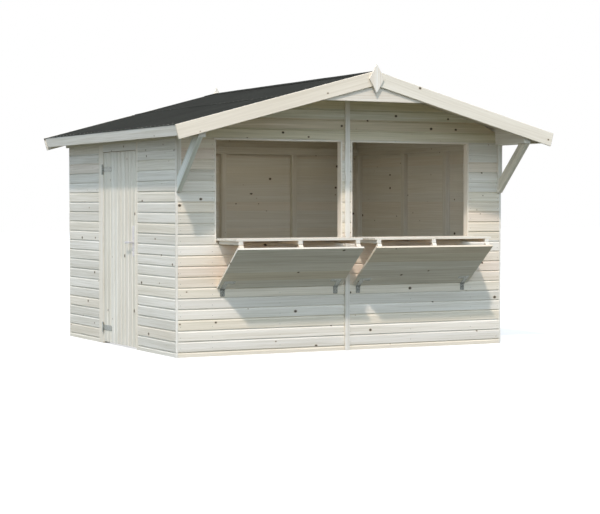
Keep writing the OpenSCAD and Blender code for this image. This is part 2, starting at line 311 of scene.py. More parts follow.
    def _knot_masks(self, tree: bpy.types.NodeTree, along: Socket,
                    across: Socket) -> tuple[Socket, Socket]:
        """Scatter knots: one chance in each cell of 310 by 250 mm, up to 12.5 mm in radius.

        Args:
            tree: The material's node tree.
            along: Socket along the grain.
            across: Socket across the grain.

        Returns:
            Sockets from 0 to 1 for the dark core and for the brown ring round it.
        """
        cell = 250.0
        largest = 12.5
        spread = self._vector(tree, along, across, 0.0, cell / 0.8, cell)
        voronoi = add_node(tree, "TexVoronoi", {"Vector": spread, "Scale": 1.0, "Randomness": 1.0},
                           voronoi_dimensions="2D", feature="F1")
        chance = add_node(tree, "SeparateColor", {0: voronoi.outputs["Color"]}).outputs[0]
        radius = add_node(tree, "MapRange", {"Value": chance, "From Min": 1.0 - self.knots,
                                             "From Max": 1.0, "To Min": 0.0,
                                             "To Max": largest / cell}).outputs[0]
        gap = add_node(tree, "Math", {0: voronoi.outputs["Distance"], 1: radius}, operation="SUBTRACT")
        core = add_node(tree, "MapRange", {"Value": gap.outputs[0], "From Min": 0.004, "From Max": -0.006,
                                           "To Min": 0.0, "To Max": 0.95})
        halo = add_node(tree, "MapRange", {"Value": gap.outputs[0], "From Min": 0.03, "From Max": 0.0,
                                           "To Min": 0.0, "To Max": 0.55})
        some = add_node(tree, "Math", {0: radius, 1: 0.0005}, operation="GREATER_THAN").outputs[0]
        return tuple(add_node(tree, "Math", {0: mask.outputs[0], 1: some}, operation="MULTIPLY").outputs[0]
                     for mask in (core, halo))


@dataclass(frozen=True)
class RoofingFelt:
    """Bitumen felt with fine slate granules: matt, nearly black, faintly mottled.

    Attributes:
        name: Name of the material.
    """

    name: str = "bitumen_roofing_felt"

    def material(self) -> bpy.types.Material:
        """Build the felt.

        Returns:
            The material.
        """
        mat, tree = new_material(self.name)
        place = add_node(tree, "TexCoord")
        # granules are about 1 mm, drawn at 4 mm to show
        grit = add_node(tree, "TexNoise", {"Vector": place.outputs["Object"], "Scale": per_metre(4.0),
                                           "Detail": 2.0, "Roughness": 0.7})
        # weathering clouds are about 400 mm across
        cloud = add_node(tree, "TexNoise", {"Vector": place.outputs["Object"], "Scale": per_metre(400.0),
                                            "Detail": 3.0, "Roughness": 0.6})
        both = add_node(tree, "Math", {0: grit.outputs["Fac"], 1: 0.5,
                                       2: add_node(tree, "Math", {0: cloud.outputs["Fac"], 1: 0.5},
                                                   operation="MULTIPLY").outputs[0]},
                        operation="MULTIPLY_ADD")
        ramp = add_node(tree, "ValToRGB", {"Fac": both.outputs[0]})
        set_ramp(ramp, [(0.35, linear("161814")), (0.55, linear("20221E")), (0.75, linear("30322B"))])
        bump = add_node(tree, "Bump", {"Height": grit.outputs["Fac"], "Strength": 0.5,
                                       "Distance": 0.002})
        shader = add_node(tree, "BsdfPrincipled", {
            "Base Color": ramp.outputs[0], "Roughness": 0.93, "Normal": bump.outputs[0],
            "Specular IOR Level": 0.1})
        add_node(tree, "OutputMaterial", {"Surface": shader.outputs[0]})
        return mat


@dataclass(frozen=True)
class SheetMetal:
    """Sheet metal of the fittings: a thin matt oxide film over zinc or anodised aluminium.

    The film hides part of the metal's mirror, so zinc looks dull grey with a soft spangle. On
    aluminium the two colours are close, and the spangle passes for faint handling marks.

    Attributes:
        name: Name of the material.
        light: Colour of the brightest spangle.
        dark: Colour of the darkest spangle.
        bare: Share of metal that shows through the film.
        roughness: Roughness of the brightest spangle; the darkest is 0.15 rougher.
    """

    name: str = "galvanised_steel"
    light: str = "A9ACA8"
    dark: str = "83877F"
    bare: float = 0.7
    roughness: float = 0.4

    def material(self) -> bpy.types.Material:
        """Build the metal.

        Returns:
            The material.
        """
        mat, tree = new_material(self.name)
        place = add_node(tree, "TexCoord")
        # zinc crystals are 5 to 15 mm across
        spangle = add_node(tree, "TexVoronoi", {"Vector": place.outputs["Object"], "Scale": per_metre(9.0)},
                           feature="F1")
        shade = add_node(tree, "SeparateColor", {0: spangle.outputs["Color"]}).outputs[0]
        ramp = add_node(tree, "ValToRGB", {"Fac": shade})
        set_ramp(ramp, [(0.0, linear(self.dark)), (1.0, linear(self.light))])
        rough = add_node(tree, "MapRange", {"Value": shade, "From Min": 0.0, "From Max": 1.0,
                                            "To Min": self.roughness + 0.15, "To Max": self.roughness})
        shader = add_node(tree, "BsdfPrincipled", {
            "Base Color": ramp.outputs[0], "Metallic": self.bare, "Roughness": rough.outputs[0]})
        add_node(tree, "OutputMaterial", {"Surface": shader.outputs[0]})
        return mat


# ---------------------------------------------------------------- surfaces


@dataclass
class Shell:
    """A closed surface of quads, with a flat cap at each end.

    Attributes:
        points: Vertices, one row each.
        quads: Four vertex numbers a row.
        caps: Vertex numbers of each end face.
        finish: Number of the material in the piece's list.
        marks: Number of the material of each quad, where they differ.
    """

    points: np.ndarray
    quads: np.ndarray
    caps: list[np.ndarray] = field(default_factory=list)
    finish: int = 0
    marks: np.ndarray | None = None

    def volume(self) -> float:
        """Sum the signed tetrahedra under every triangle of the surface.

        Returns:
            Positive where the faces point outwards.
        """
        fans = [self.quads[:, [0, 1, 2]], self.quads[:, [0, 2, 3]]]
        for cap in self.caps:
            inner = np.arange(1, len(cap) - 1)
            fans.append(np.stack([np.full(len(inner), cap[0]), cap[inner], cap[inner + 1]], axis=1))
        a, b, c = (self.points[np.concatenate(fans)[:, k]] for k in range(3))
        return float(np.einsum("ij,ij->i", a, np.cross(b, c)).sum() / 6.0)

    def outward(self) -> "Shell":
        """Turn every face round if the surface is inside out.

        Returns:
            This shell.
        """
        if self.volume() < 0.0:
            self.quads = self.quads[:, ::-1]
            self.caps = [cap[::-1] for cap in self.caps]
        return self

    def moved(self, turn: tuple[float, float, float], place: Sequence[float]) -> "Shell":
        """Turn the shell about the origin, then move it.

        Args:
            turn: Euler angles in radians.
            place: The new place of the origin.

        Returns:
            This shell.
        """
        matrix = np.array(Euler(turn).to_matrix())
        self.points = self.points @ matrix.T + np.asarray(place, float)
        return self


def ring_shell(rings: np.ndarray, finish: int = 0) -> Shell:
    """Join rings of points into a tube and close both ends.

    Args:
        rings: Points as ring by point by coordinate.
        finish: Number of the material in the piece's list.

    Returns:
        The closed shell.
    """
    count, around = rings.shape[:2]
    index = np.arange(count * around).reshape(count, around)
    ahead = np.roll(index, -1, axis=1)
    quads = np.stack([index[:-1], ahead[:-1], ahead[1:], index[1:]], axis=-1).reshape(-1, 4)
    return Shell(rings.reshape(-1, 3), quads, [index[0][::-1], index[-1]], finish).outward()


def bar(low: Sequence[float], high: Sequence[float], axis: Axis, ease: float = EASE,
        finish: int = 0) -> Shell:
    """Make a straight timber with planed-off edges.

    The section is a rectangle with its four corners cut, and it is drawn in by the same
    amount at both ends.

    Args:
        low: Lowest corner.
        high: Highest corner.
        axis: Axis along the timber.
        ease: Width of the planed-off edge.
        finish: Number of the material in the piece's list.

    Returns:
        The closed shell.
    """
    low_v = np.asarray(low, float)
    high_v = np.asarray(high, float)
    side = [k for k in range(3) if k != axis.value]
    mid = (low_v + high_v) / 2.0
    half = (high_v - low_v) / 2.0
    stations = np.array([low_v[axis.value], low_v[axis.value] + ease,
                         high_v[axis.value] - ease, high_v[axis.value]])
    draw = np.array([ease, 0.0, 0.0, ease])
    corner = np.array([[1, 1, 0], [1, 1, 1], [-1, 1, 1], [-1, 1, 0], [-1, -1, 0], [-1, -1, 1],
                       [1, -1, 1], [1, -1, 0]], float)
    cut_first = np.where(corner[:, 2] == 1, ease, 0.0)
    cut_second = np.where(corner[:, 2] == 0, ease, 0.0)
    rings = np.empty((4, 8, 3))
    rings[..., axis.value] = stations[:, None]
    reach = half[side[0]] - draw[:, None] - cut_first[None, :]
    rings[..., side[0]] = mid[side[0]] + corner[None, :, 0] * reach
    reach = half[side[1]] - draw[:, None] - cut_second[None, :]
    rings[..., side[1]] = mid[side[1]] + corner[None, :, 1] * reach
    return ring_shell(rings, finish)


def plate(half_u: float, half_v: float, thick: float, corner: float, finish: int = 0) -> Shell:
    """Make a flat plate with round corners in the U-V plane, standing up from W = 0.

    The outline is a quarter circle at each corner. The upper rim is drawn in by a third of the
    thickness.

    Args:
        half_u: Half the length.
        half_v: Half the width.
        thick: Thickness.
        corner: Radius of the corners.
        finish: Number of the material in the piece's list.

    Returns:
        The closed shell, to be moved into place.
    """
    angle = np.concatenate([np.linspace(k, k + 1, 7) for k in range(4)]) * math.pi / 2.0
    centre_u = np.repeat(np.array([1, -1, -1, 1]), 7) * (half_u - corner)
    centre_v = np.repeat(np.array([1, 1, -1, -1]), 7) * (half_v - corner)
    rim = thick / 3.0
    radius = np.array([corner, corner, corner - rim])[:, None]
    height = np.array([0.0, thick - rim, thick])[:, None]
    rings = np.empty((3, len(angle), 3))
    rings[..., 0] = centre_u + radius * np.cos(angle)
    rings[..., 1] = centre_v + radius * np.sin(angle)
    rings[..., 2] = height
    return ring_shell(rings, finish)


def turned(profile: Sequence[tuple[float, float]], sides: int = 20, finish: int = 0) -> Shell:
    """Turn a profile round the W axis.

    Args:
        profile: Radius and height of each ring, from the first end to the last.
        sides: Number of points round the axis.
        finish: Number of the material in the piece's list.

    Returns:
        The closed shell, to be moved into place.
    """
    line = np.asarray(profile, float)
    angle = np.arange(sides) * 2.0 * math.pi / sides
    rings = np.empty((len(line), sides, 3))
    rings[..., 0] = line[:, 0, None] * np.cos(angle)
    rings[..., 1] = line[:, 0, None] * np.sin(angle)
    rings[..., 2] = line[:, 1, None]
    return ring_shell(rings, finish)


def screw_head(radius: float = 0.0045, finish: int = 0) -> Shell:
    """Make a low domed screw head that stands up from W = 0.

    Args:
        radius: Radius of the head.
        finish: Number of the material in the piece's list.

    Returns:
        The closed shell.
    """
    steps = np.linspace(0.0, 0.42 * math.pi, 4)
    dome = [(radius * math.cos(a), 0.0002 + radius * 0.36 * math.sin(a)) for a in steps]
    return turned([(radius * 0.96, -0.0006)] + dome, 10, finish)

def screws(turn: Sequence[float], places: Sequence[Sequence[float]], radius: float = 0.0045) -> list[Shell]:
    """Set one screw head at each place, all turned the same way."""
    return [screw_head(radius).moved(turn, place) for place in places]


def add_object(name: str, data: bpy.types.ID) -> bpy.types.Object:
    """Put a new object into the scene, at the origin.

    Args:
        name: Name of the object.
        data: Its mesh, lamp or camera.

    Returns:
        The object.
    """
    item = bpy.data.objects.new(name, data)
    bpy.context.scene.collection.objects.link(item)
    return item


def make_piece(name: str, shells: Sequence[Shell], finishes: Sequence[bpy.types.Material], body: str,
               replaced: Sequence[str] = ()) -> bpy.types.Object:
    """Put shells into one mesh object at the origin and tie it to the frame.

    Args:
        name: Name of the piece.
        shells: Its closed surfaces.
        finishes: Its materials, in the order of the shells' numbers.
        body: The frame body it rides on.
        replaced: Frame nodes it stands for.

    Returns:
        The object.
    """
    start = np.cumsum([0] + [len(s.points) for s in shells])
    faces: list[list[int]] = []
    marks: list[int] = []
    for first, shell in zip(start, shells):
        part = (shell.quads + first).tolist() + [(cap + first).tolist() for cap in shell.caps]
        faces += part
        own = [] if shell.marks is None else shell.marks.tolist()
        marks += own + [shell.finish] * (len(part) - len(own))
    mesh = bpy.data.meshes.new(name)
    mesh.from_pydata(np.concatenate([s.points for s in shells]).tolist(), [], faces)
    for material in finishes:
        mesh.materials.append(material)
    mesh.polygons.foreach_set("material_index", np.array(marks, dtype=np.int32))
    mesh.update()
    return tie(add_object(name, mesh), body, replaced)


def tie(piece: bpy.types.Object, body: str, replaced: Sequence[str]) -> bpy.types.Object:
    """Make a piece ride on its body and stand for its nodes.

    Args:
        piece: The object.
        body: The frame body it rides on.
        replaced: Frame nodes it stands for.

    Returns:
        The object.
    """
    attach(piece, body)
    if replaced:
        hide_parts(*replaced)
    LOG.info("%s: %d faces on %s", piece.name, len(piece.data.polygons), body)
    return piece


def corners(node: str) -> tuple[np.ndarray, np.ndarray]:
    """Read a frame node's box.

    Args:
        node: Name of the node.

    Returns:
        Its lowest and highest corner.
    """
    low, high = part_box(node)
    return np.array(low), np.array(high)


def stud_lines(node: str, along: Axis) -> list[float]:
    """Find the middle line of each stud of a wall.

    Every stud is a box, so the sorted places of its points along the wall come in pairs, and the
    middle line is the mean of a pair.

    Args:
        node: Name of the studs' node.
        along: Axis along the wall.

    Returns:
        The middle lines in rising order.
    """
    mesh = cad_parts[node].data
    points = np.empty(len(mesh.vertices) * 3)
    mesh.vertices.foreach_get("co", points)
    edges = np.unique(np.round(points.reshape(-1, 3)[:, along.value], 4))
    return edges.reshape(-1, 2).mean(axis=1).tolist()


# ---------------------------------------------------------------- nails


@dataclass(frozen=True)
class Nails:
    """Flat-headed nails, as one joined mesh of low domes.

    Attributes:
        radius: Radius of a head.
        stand: How far a head stands out.
        sides: Number of points round a head.
    """

    radius: float = 0.0030
    stand: float = 0.0008
    sides: int = 8

    def shell(self, places: np.ndarray, facing: np.ndarray) -> Shell:
        """Copy one head to every place.

        A head is a shallow drum round the nail's axis, from just under the face to its full
        height, with the upper rim drawn in by a fifth. The side axes are any two square to the
        facing direction.

        Args:
            places: One point on the face for each nail.
            facing: The outward direction, of length 1.

        Returns:
            The heads, with their lids as fans of quads.
        """
        aside = np.cross(facing, [0.31, 0.52, 0.79])
        aside /= np.linalg.norm(aside)
        upward = np.cross(facing, aside)
        angle = np.arange(self.sides) * 2.0 * math.pi / self.sides
        circle = np.cos(angle)[:, None] * aside + np.sin(angle)[:, None] * upward
        levels = ((1.0, -0.0004), (1.0, self.stand * 0.5), (0.8, self.stand))
        head = np.concatenate([circle * self.radius * scale + facing * height
                               for scale, height in levels])
        index = np.arange(self.sides * 3).reshape(3, self.sides)
        ahead = np.roll(index, -1, axis=1)
        wall = np.stack([index[:-1], ahead[:-1], ahead[1:], index[1:]], axis=-1).reshape(-1, 4)
        fan = np.arange(0, self.sides - 2, 2)
        lid = np.stack([np.zeros_like(fan), fan + 1, fan + 2, fan + 3], axis=1)
        faces = np.concatenate([wall, lid[:, ::-1], lid + 2 * self.sides])
        points = (places[:, None, :] + head[None, :, :]).reshape(-1, 3)
        shift = (np.arange(len(places)) * len(head))[:, None, None]
        return Shell(points, (faces[None, :, :] + shift).reshape(-1, 4)).outward()


# ---------------------------------------------------------------- boards


@dataclass(frozen=True)
class BoardJoint:
    """The shape of the joint between two boards.

    Each table gives the recess in metres against the distance above a joint, on both faces.

    Attributes:
        pitch: Cover width of a board.
        at: Distances above the joint, from 0 to the pitch.
        outer: Recess of the outer face there.
        inner: Recess of the inner face there.
    """

    pitch: float
    at: tuple[float, ...]
    outer: tuple[float, ...]
    inner: tuple[float, ...]

    def rows(self, low: float, high: float, phase: float,
             extra: Sequence[float] = ()) -> tuple[np.ndarray, np.ndarray, np.ndarray]:
        """Work out the rows of a panel from its lower to its upper edge.

        Args:
            low: Lower edge.
            high: Upper edge.
            phase: Where a joint lies.
            extra: More places that need a row.

        Returns:
            Positions, and the recess of the outer and the inner face at each.
        """
        first = math.floor((low - phase) / self.pitch)
        last = math.ceil((high - phase) / self.pitch)
        starts = phase + np.arange(first, last) * self.pitch
        spots = (starts[:, None] + np.array(self.at[:-1])[None, :]).ravel()
        spots = np.concatenate([spots, np.asarray(extra, float)])
        inside = spots[(spots > low + 1e-4) & (spots < high - 1e-4)]
        rows = np.unique(np.round(np.concatenate([[low], inside, [high]]), 6))
        above = np.mod(rows - phase + 1e-7, self.pitch)
        return rows, np.interp(above, self.at, self.outer), np.interp(above, self.at, self.inner)


LAP_DEPTH = 0.0095       # how far the top of a board lies back from the face

# lapped cladding: a sharp lower edge stands over the scooped top of the board below, which
# lies back for 8 mm and then curves out to the face
LAPPED = BoardJoint(
    BOARD_PITCH,
    (0.0, 0.0002, 0.0005, 0.0025, BOARD_PITCH - 0.020, BOARD_PITCH - 0.016, BOARD_PITCH - 0.012,
     BOARD_PITCH - 0.008, BOARD_PITCH - 0.001, BOARD_PITCH),
    (LAP_DEPTH, LAP_DEPTH, 0.0, 0.0, 0.0, 0.0024, 0.0062, LAP_DEPTH, LAP_DEPTH, LAP_DEPTH),
    (0.0011, 0.0011, 0.001, 0.0, 0.0, 0.0, 0.0, 0.0, 0.0006, 0.0011))


def open_vee_joint(pitch: float, width: float, depth: float, slot: float, bottom: float) -> BoardJoint:
    """Describe tongued boards with a V outside whose bottom is an open slot, and a plain V inside.

    Args:
        pitch: Cover width of a board.
        width: Width of the V.
        depth: Depth of the V at the slot.
        slot: Width of the slot.
        bottom: Depth of the slot.

    Returns:
        The joint.
    """
    half = width / 2.0
    gap = slot / 2.0
    step = 0.00005
    lip = depth * (half - gap) / half
    at = (0.0, gap, gap + step, half, pitch - half, pitch - gap - step, pitch - gap, pitch)
    outer = (bottom, bottom, depth, 0.0, 0.0, depth, bottom, bottom)
    inner = (depth, lip, lip, 0.0, 0.0, lip, lip, depth)
    return BoardJoint(pitch, at, outer, inner)


def vee_joint(pitch: float, width: float, depth: float) -> BoardJoint:
    """Describe tongued boards with a V on both faces.

    Args:
        pitch: Cover width of a board.
        width: Width of the V.
        depth: Depth of the V.

    Returns:
        The joint.
    """
    half = width / 2.0
    recess = (depth, 0.0, 0.0, depth)
    return BoardJoint(pitch, (0.0, half, pitch - half, pitch), recess, recess)


@dataclass
class BoardPanel:
    """A flat panel of boards laid side by side.

    Attributes:
        name: Name of the piece.
        low: Lowest corner.
        high: Highest corner.
        length: Axis along the boards.
        rise: Axis across the boards.
        outside: +1 or -1, the side of the outer face on the third axis.
        joint: Shape of the joints.
        phase: Where a joint lies on the rise axis.
        limits: Start and end of the boards at each row, where the outline isn't a rectangle.
        extra: More rows, where the outline turns.
    """

    name: str
    low: np.ndarray
    high: np.ndarray
    length: Axis
    rise: Axis
    outside: int
    joint: BoardJoint = LAPPED
    phase: float = FIRST_JOINT
    limits: Limits | None = None
    extra: tuple[float, ...] = ()

    def shell(self, back: int = 0) -> Shell:
        """Build the panel as one ring of four points per row, recessed at the joints.

        Args:
            back: Number of the material on the face away from the weather.

        Returns:
            The closed shell.
        """
        along, up = self.length.value, self.rise.value
        deep = 3 - along - up
        rows, outer, inner = self.joint.rows(self.low[up], self.high[up], self.phase, self.extra)
        if self.limits is None:
            start = np.full(len(rows), self.low[along])
            end = np.full(len(rows), self.high[along])
        else:
            start, end = self.limits(rows)
        faces = (self.low[deep], self.high[deep])
        front = faces[1] - outer if self.outside > 0 else faces[0] + outer
        rear = faces[0] + inner if self.outside > 0 else faces[1] - inner
        rings = np.empty((len(rows), 4, 3))
        rings[:, :, up] = rows[:, None]
        rings[:, :, along] = np.stack([start, end, end, start], axis=1)
        rings[:, :, deep] = np.stack([front, front, rear, rear], axis=1)
        shell = ring_shell(rings)
        shell.marks = np.tile([0, 0, back, 0], len(rows) - 1)
        return shell


# ---------------------------------------------------------------- timbers of the frame


def merged_mesh(node: str) -> bpy.types.Mesh:
    """Copy a frame node's mesh, merge its points and join its flat faces.

    Args:
        node: Name of the node.

    Returns:
        A new mesh.
    """
    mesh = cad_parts[node].data.copy()
    mesh.name = node
    edit = bmesh.new()
    edit.from_mesh(mesh)
    bmesh.ops.remove_doubles(edit, verts=edit.verts, dist=1e-5)
    bmesh.ops.dissolve_limit(edit, angle_limit=math.radians(1.0), verts=edit.verts, edges=edit.edges)
    edit.to_mesh(mesh)
    edit.free()
    return mesh


def island_grain(mesh: bpy.types.Mesh) -> np.ndarray:
    """Find the longest axis of the timber that each face belongs to.

    The lowest vertex number is passed along the edges until nothing changes, which names the
    separate timbers.

    Args:
        mesh: A mesh of one or more timbers.

    Returns:
        Axis number for each face.
    """
    points = np.empty(len(mesh.vertices) * 3)
    mesh.vertices.foreach_get("co", points)
    points = points.reshape(-1, 3)
    edges = np.empty(len(mesh.edges) * 2, dtype=np.int64)
    mesh.edges.foreach_get("vertices", edges)
    edges = edges.reshape(-1, 2)
    label = np.arange(len(points))
    while True:
        lowest = np.minimum(label[edges[:, 0]], label[edges[:, 1]])
        new = label.copy()
        np.minimum.at(new, edges[:, 0], lowest)
        np.minimum.at(new, edges[:, 1], lowest)
        if np.array_equal(new, label):
            break
        label = new
    axis_of = np.zeros(len(points), dtype=np.int64)
    for name in np.unique(label):
        inside = label == name
        axis_of[inside] = int(np.argmax(np.ptp(points[inside], axis=0)))
    first = np.empty(len(mesh.polygons), dtype=np.int64)
    mesh.polygons.foreach_get("loop_start", first)
    corner = np.empty(len(mesh.loops), dtype=np.int64)
    mesh.loops.foreach_get("vertex_index", corner)
    return axis_of[corner[first]]


@dataclass
class Timbers:
    """Sawn and planed timbers that keep the frame's shape, with their edges eased.

    Attributes:
        slot: Name of a material slot; not used.
        finishes: One wood for each axis.
    """

    slot: str
    finishes: dict[Axis, bpy.types.Material]

    def dress(self, node: str, body: str = STALL, ease: float = EASE,
              finish: bpy.types.Material | None = None) -> bpy.types.Object:
        """Replace a frame node by a copy with planed-off edges and wood along each timber.

        Args:
            node: Name of the node.
            body: The frame body it rides on.
            ease: Width of the planed-off edge.
            finish: One wood for the whole piece, or None for one per axis.

        Returns:
            The piece.
        """
        mesh = merged_mesh(node)
        mesh.materials.clear()
        for wood in ([self.finishes[axis] for axis in Axis] if finish is None else [finish]):
            mesh.materials.append(wood)
        grain = island_grain(mesh) if finish is None else np.zeros(len(mesh.polygons))
        mesh.polygons.foreach_set("material_index", grain.astype(np.int32))
        mesh.update()
        piece = add_object(node + "_timber", mesh)
        bevel = piece.modifiers.new("planed_edges", "BEVEL")
        bevel.width = ease
        bevel.segments = 2
        bevel.limit_method = "ANGLE"
        bevel.angle_limit = math.radians(30.0)
        return tie(piece, body, [node])


# ---------------------------------------------------------------- sub-assemblies


@dataclass
class Walls:
    """The boarded walls, cut at the openings, and the nails that hold their boards.

    Attributes:
        head: Height at which the walls meet the eaves beams.
        step: Height over which a wall's outline changes there.
        above_lap: Height of the nails above each lap.
        inset: How far a nail stays in from the side of a post.
        edge: How far the end nails of a side wall stay in from its corners.
        middle: Distance of the front wall's inner nails from its middle.
        hatch_stud: Distance of the stud under each opening from the middle.
    """

    head: float = 1.95
    step: float = 0.0002
    above_lap: float = 0.030
    inset: float = 0.022
    edge: float = 0.042
    middle: float = 0.036
    hatch_stud: float = 0.70

    def wood(self, node: str, length: Axis, seed: float) -> bpy.types.Material:
        """Make the cladding's wood for one wall: a darker, calmer copy on the side walls and a darker,
        browner one in the gable, both painted shade, and a lighter one on the lower front wall, partly
        painted light that lifts its shade under the flaps.

        Args:
            node: Name of the wall.
            length: Axis along its boards.
            seed: Pattern shift.

        Returns:
            The material.
        """
        light, dark, vary = "EBE7DC", "D7D1C2", 0.75
        if length is Axis.Y:
            # painted shade: the side walls take a darker copy of the wood, for the lesser light on their
            # sides
            light, dark, vary = "E5E2D8", "D1CDC0", 0.5
        elif node == "front_gable_wall":
            # painted shade: the gable under the roof's overhang takes a darker, browner copy of the wood
            light, dark = "DEDBC8", "C7C4AE"
        elif node == "front_wall_lower":
            # partly painted light: the lower front wall takes a lighter copy, which also lifts its shade
            # under the flaps
            light, dark = "F0ECE3", "DDD8CB"
        return Spruce("spruce_" + node, length, Axis.Z, pitch=BOARD_PITCH, phase=FIRST_JOINT,
                      seed=seed, light=light, dark=dark, vary=vary).material()

    def gable_limits(self, rows: np.ndarray, inner: float, outer: float,
                     apex: float) -> tuple[np.ndarray, np.ndarray]:
        """Outline a gable: straight sides up to the eaves, then the slope of the roof.

        Args:
            rows: Heights.
            inner: Half width above the eaves beams' lower edge.
            outer: Half width below it.
            apex: Height where both slopes meet.

        Returns:
            Start and end of the boards at each height.
        """
        straight = np.where(rows <= self.head + 1e-6, outer, inner)
        sloped = np.maximum((apex - rows) / ROOF_FALL, 0.002)
        half = np.minimum(straight, sloped)
        return -half, half

    def pier_limits(self, rows: np.ndarray, low: np.ndarray, high: np.ndarray,
                    beam: float) -> tuple[np.ndarray, np.ndarray]:
        """Outline a pier that is notched under the eaves beam.

        Args:
            rows: Heights.
            low: Lowest corner of the pier.
            high: Highest corner of the pier.
            beam: Distance from the middle to the inner side of the beam.

        Returns:
            Start and end of the boards at each height.
        """
        above = rows > self.head + 1e-6
        start = np.where(above & (low[0] < 0), -beam, low[0])
        end = np.where(above & (high[0] > 0), beam, high[0])
        return start, end

    def build(self) -> None:
        """Build every wall panel."""
        room = corners("front_gable_wall")[1][0]
        walls = (("front_wall_lower", Axis.X, -1), ("front_pier_left", Axis.X, -1),
                 ("front_pier_right", Axis.X, -1), ("front_mullion", Axis.X, -1),
                 ("front_gable_wall", Axis.X, -1), ("rear_wall", Axis.X, 1),
                 ("left_wall_front", Axis.Y, -1), ("left_wall_rear", Axis.Y, -1),
                 ("left_wall_over_door", Axis.Y, -1), ("right_wall", Axis.Y, 1))
        for seed, (node, length, side) in enumerate(walls, 1):
            low, high = corners(node)
            panel = BoardPanel(node + "_boards", low, high, length, Axis.Z, side)
            if length is Axis.X:
                panel.extra = (self.head, self.head + self.step)
            if node in ("front_gable_wall", "rear_wall"):
                panel.limits = partial(self.gable_limits, inner=room, outer=high[0], apex=high[2])
            elif "pier" in node:
                panel.limits = partial(self.pier_limits, low=low, high=high, beam=room)
            self.place(panel, node, seed)

    def nail(self, zinc: bpy.types.Material) -> None:
        """Nail the boards to the posts and studs behind them, a little above each lap.

        Args:
            zinc: The finish of the nails.
        """
        high = corners("rear_wall")[1]
        sill_low, sill_high = corners("front_wall_lower")
        door_low, door_high = corners("door_posts")
        side = corners("right_wall")[1][0]
        front = sill_low[1]
        tall = np.arange(FIRST_JOINT + self.above_lap, self.head, BOARD_PITCH)
        short = tall[tall < sill_high[2]]
        ends = high[0] - self.inset
        post = corners("front_pier_right")[0][0] + self.inset
        inner = (-self.middle, self.middle, -self.hatch_stud, self.hatch_stud)
        across = (front + self.edge, high[1] - self.edge)
        rear_studs = stud_lines("rear_wall_studs", Axis.X)[1:-1]
        right_studs = stud_lines("right_wall_studs", Axis.Y)
        rows = {
            "front_wall_nails": (Axis.X, front, -1, [(tall, (-ends, -post, post, ends)), (short, inner)]),
            "rear_wall_nails": (Axis.X, high[1], 1, [(tall, (-ends, *rear_studs, ends))]),
            "right_wall_nails": (Axis.Y, side, 1, [(tall, (across[0], *right_studs, across[1]))]),
            "left_wall_nails": (Axis.Y, -side, -1, [
                (tall, (across[0], door_low[1] - self.inset, door_high[1] + self.inset, across[1]))]),
        }
        for name, (along, face, out, lines) in rows.items():
            spots = []
            for heights, stations in lines:
                grid = np.stack(np.meshgrid(np.array(stations), heights), axis=-1).reshape(-1, 2)
                spot = np.full((len(grid), 3), face)
                spot[:, along.value] = grid[:, 0]
                spot[:, 2] = grid[:, 1]
                spots.append(spot)
            facing = np.zeros(3)
            facing[1 - along.value] = out
            shell = Nails().shell(np.concatenate(spots), facing)
            make_piece(name, [shell], [zinc], STALL)

    def place(self, panel: BoardPanel, node: str, seed: float) -> None:
        """Make one wall panel's piece.

        Args:
            panel: The panel.
            node: The frame node it stands for.
            seed: Pattern shift.
        """
        room_side = Spruce("spruce_" + node + "_room_side", panel.length, Axis.Z, pitch=BOARD_PITCH,
                           phase=FIRST_JOINT, seed=seed + 0.5, knots=0.95, light="E9E4D8", dark="DFD9CB",
                           vary=0.35)
        finishes = [self.wood(node, panel.length, seed), room_side.material()]
        make_piece(panel.name, [panel.shell(1)], finishes, STALL, [node])


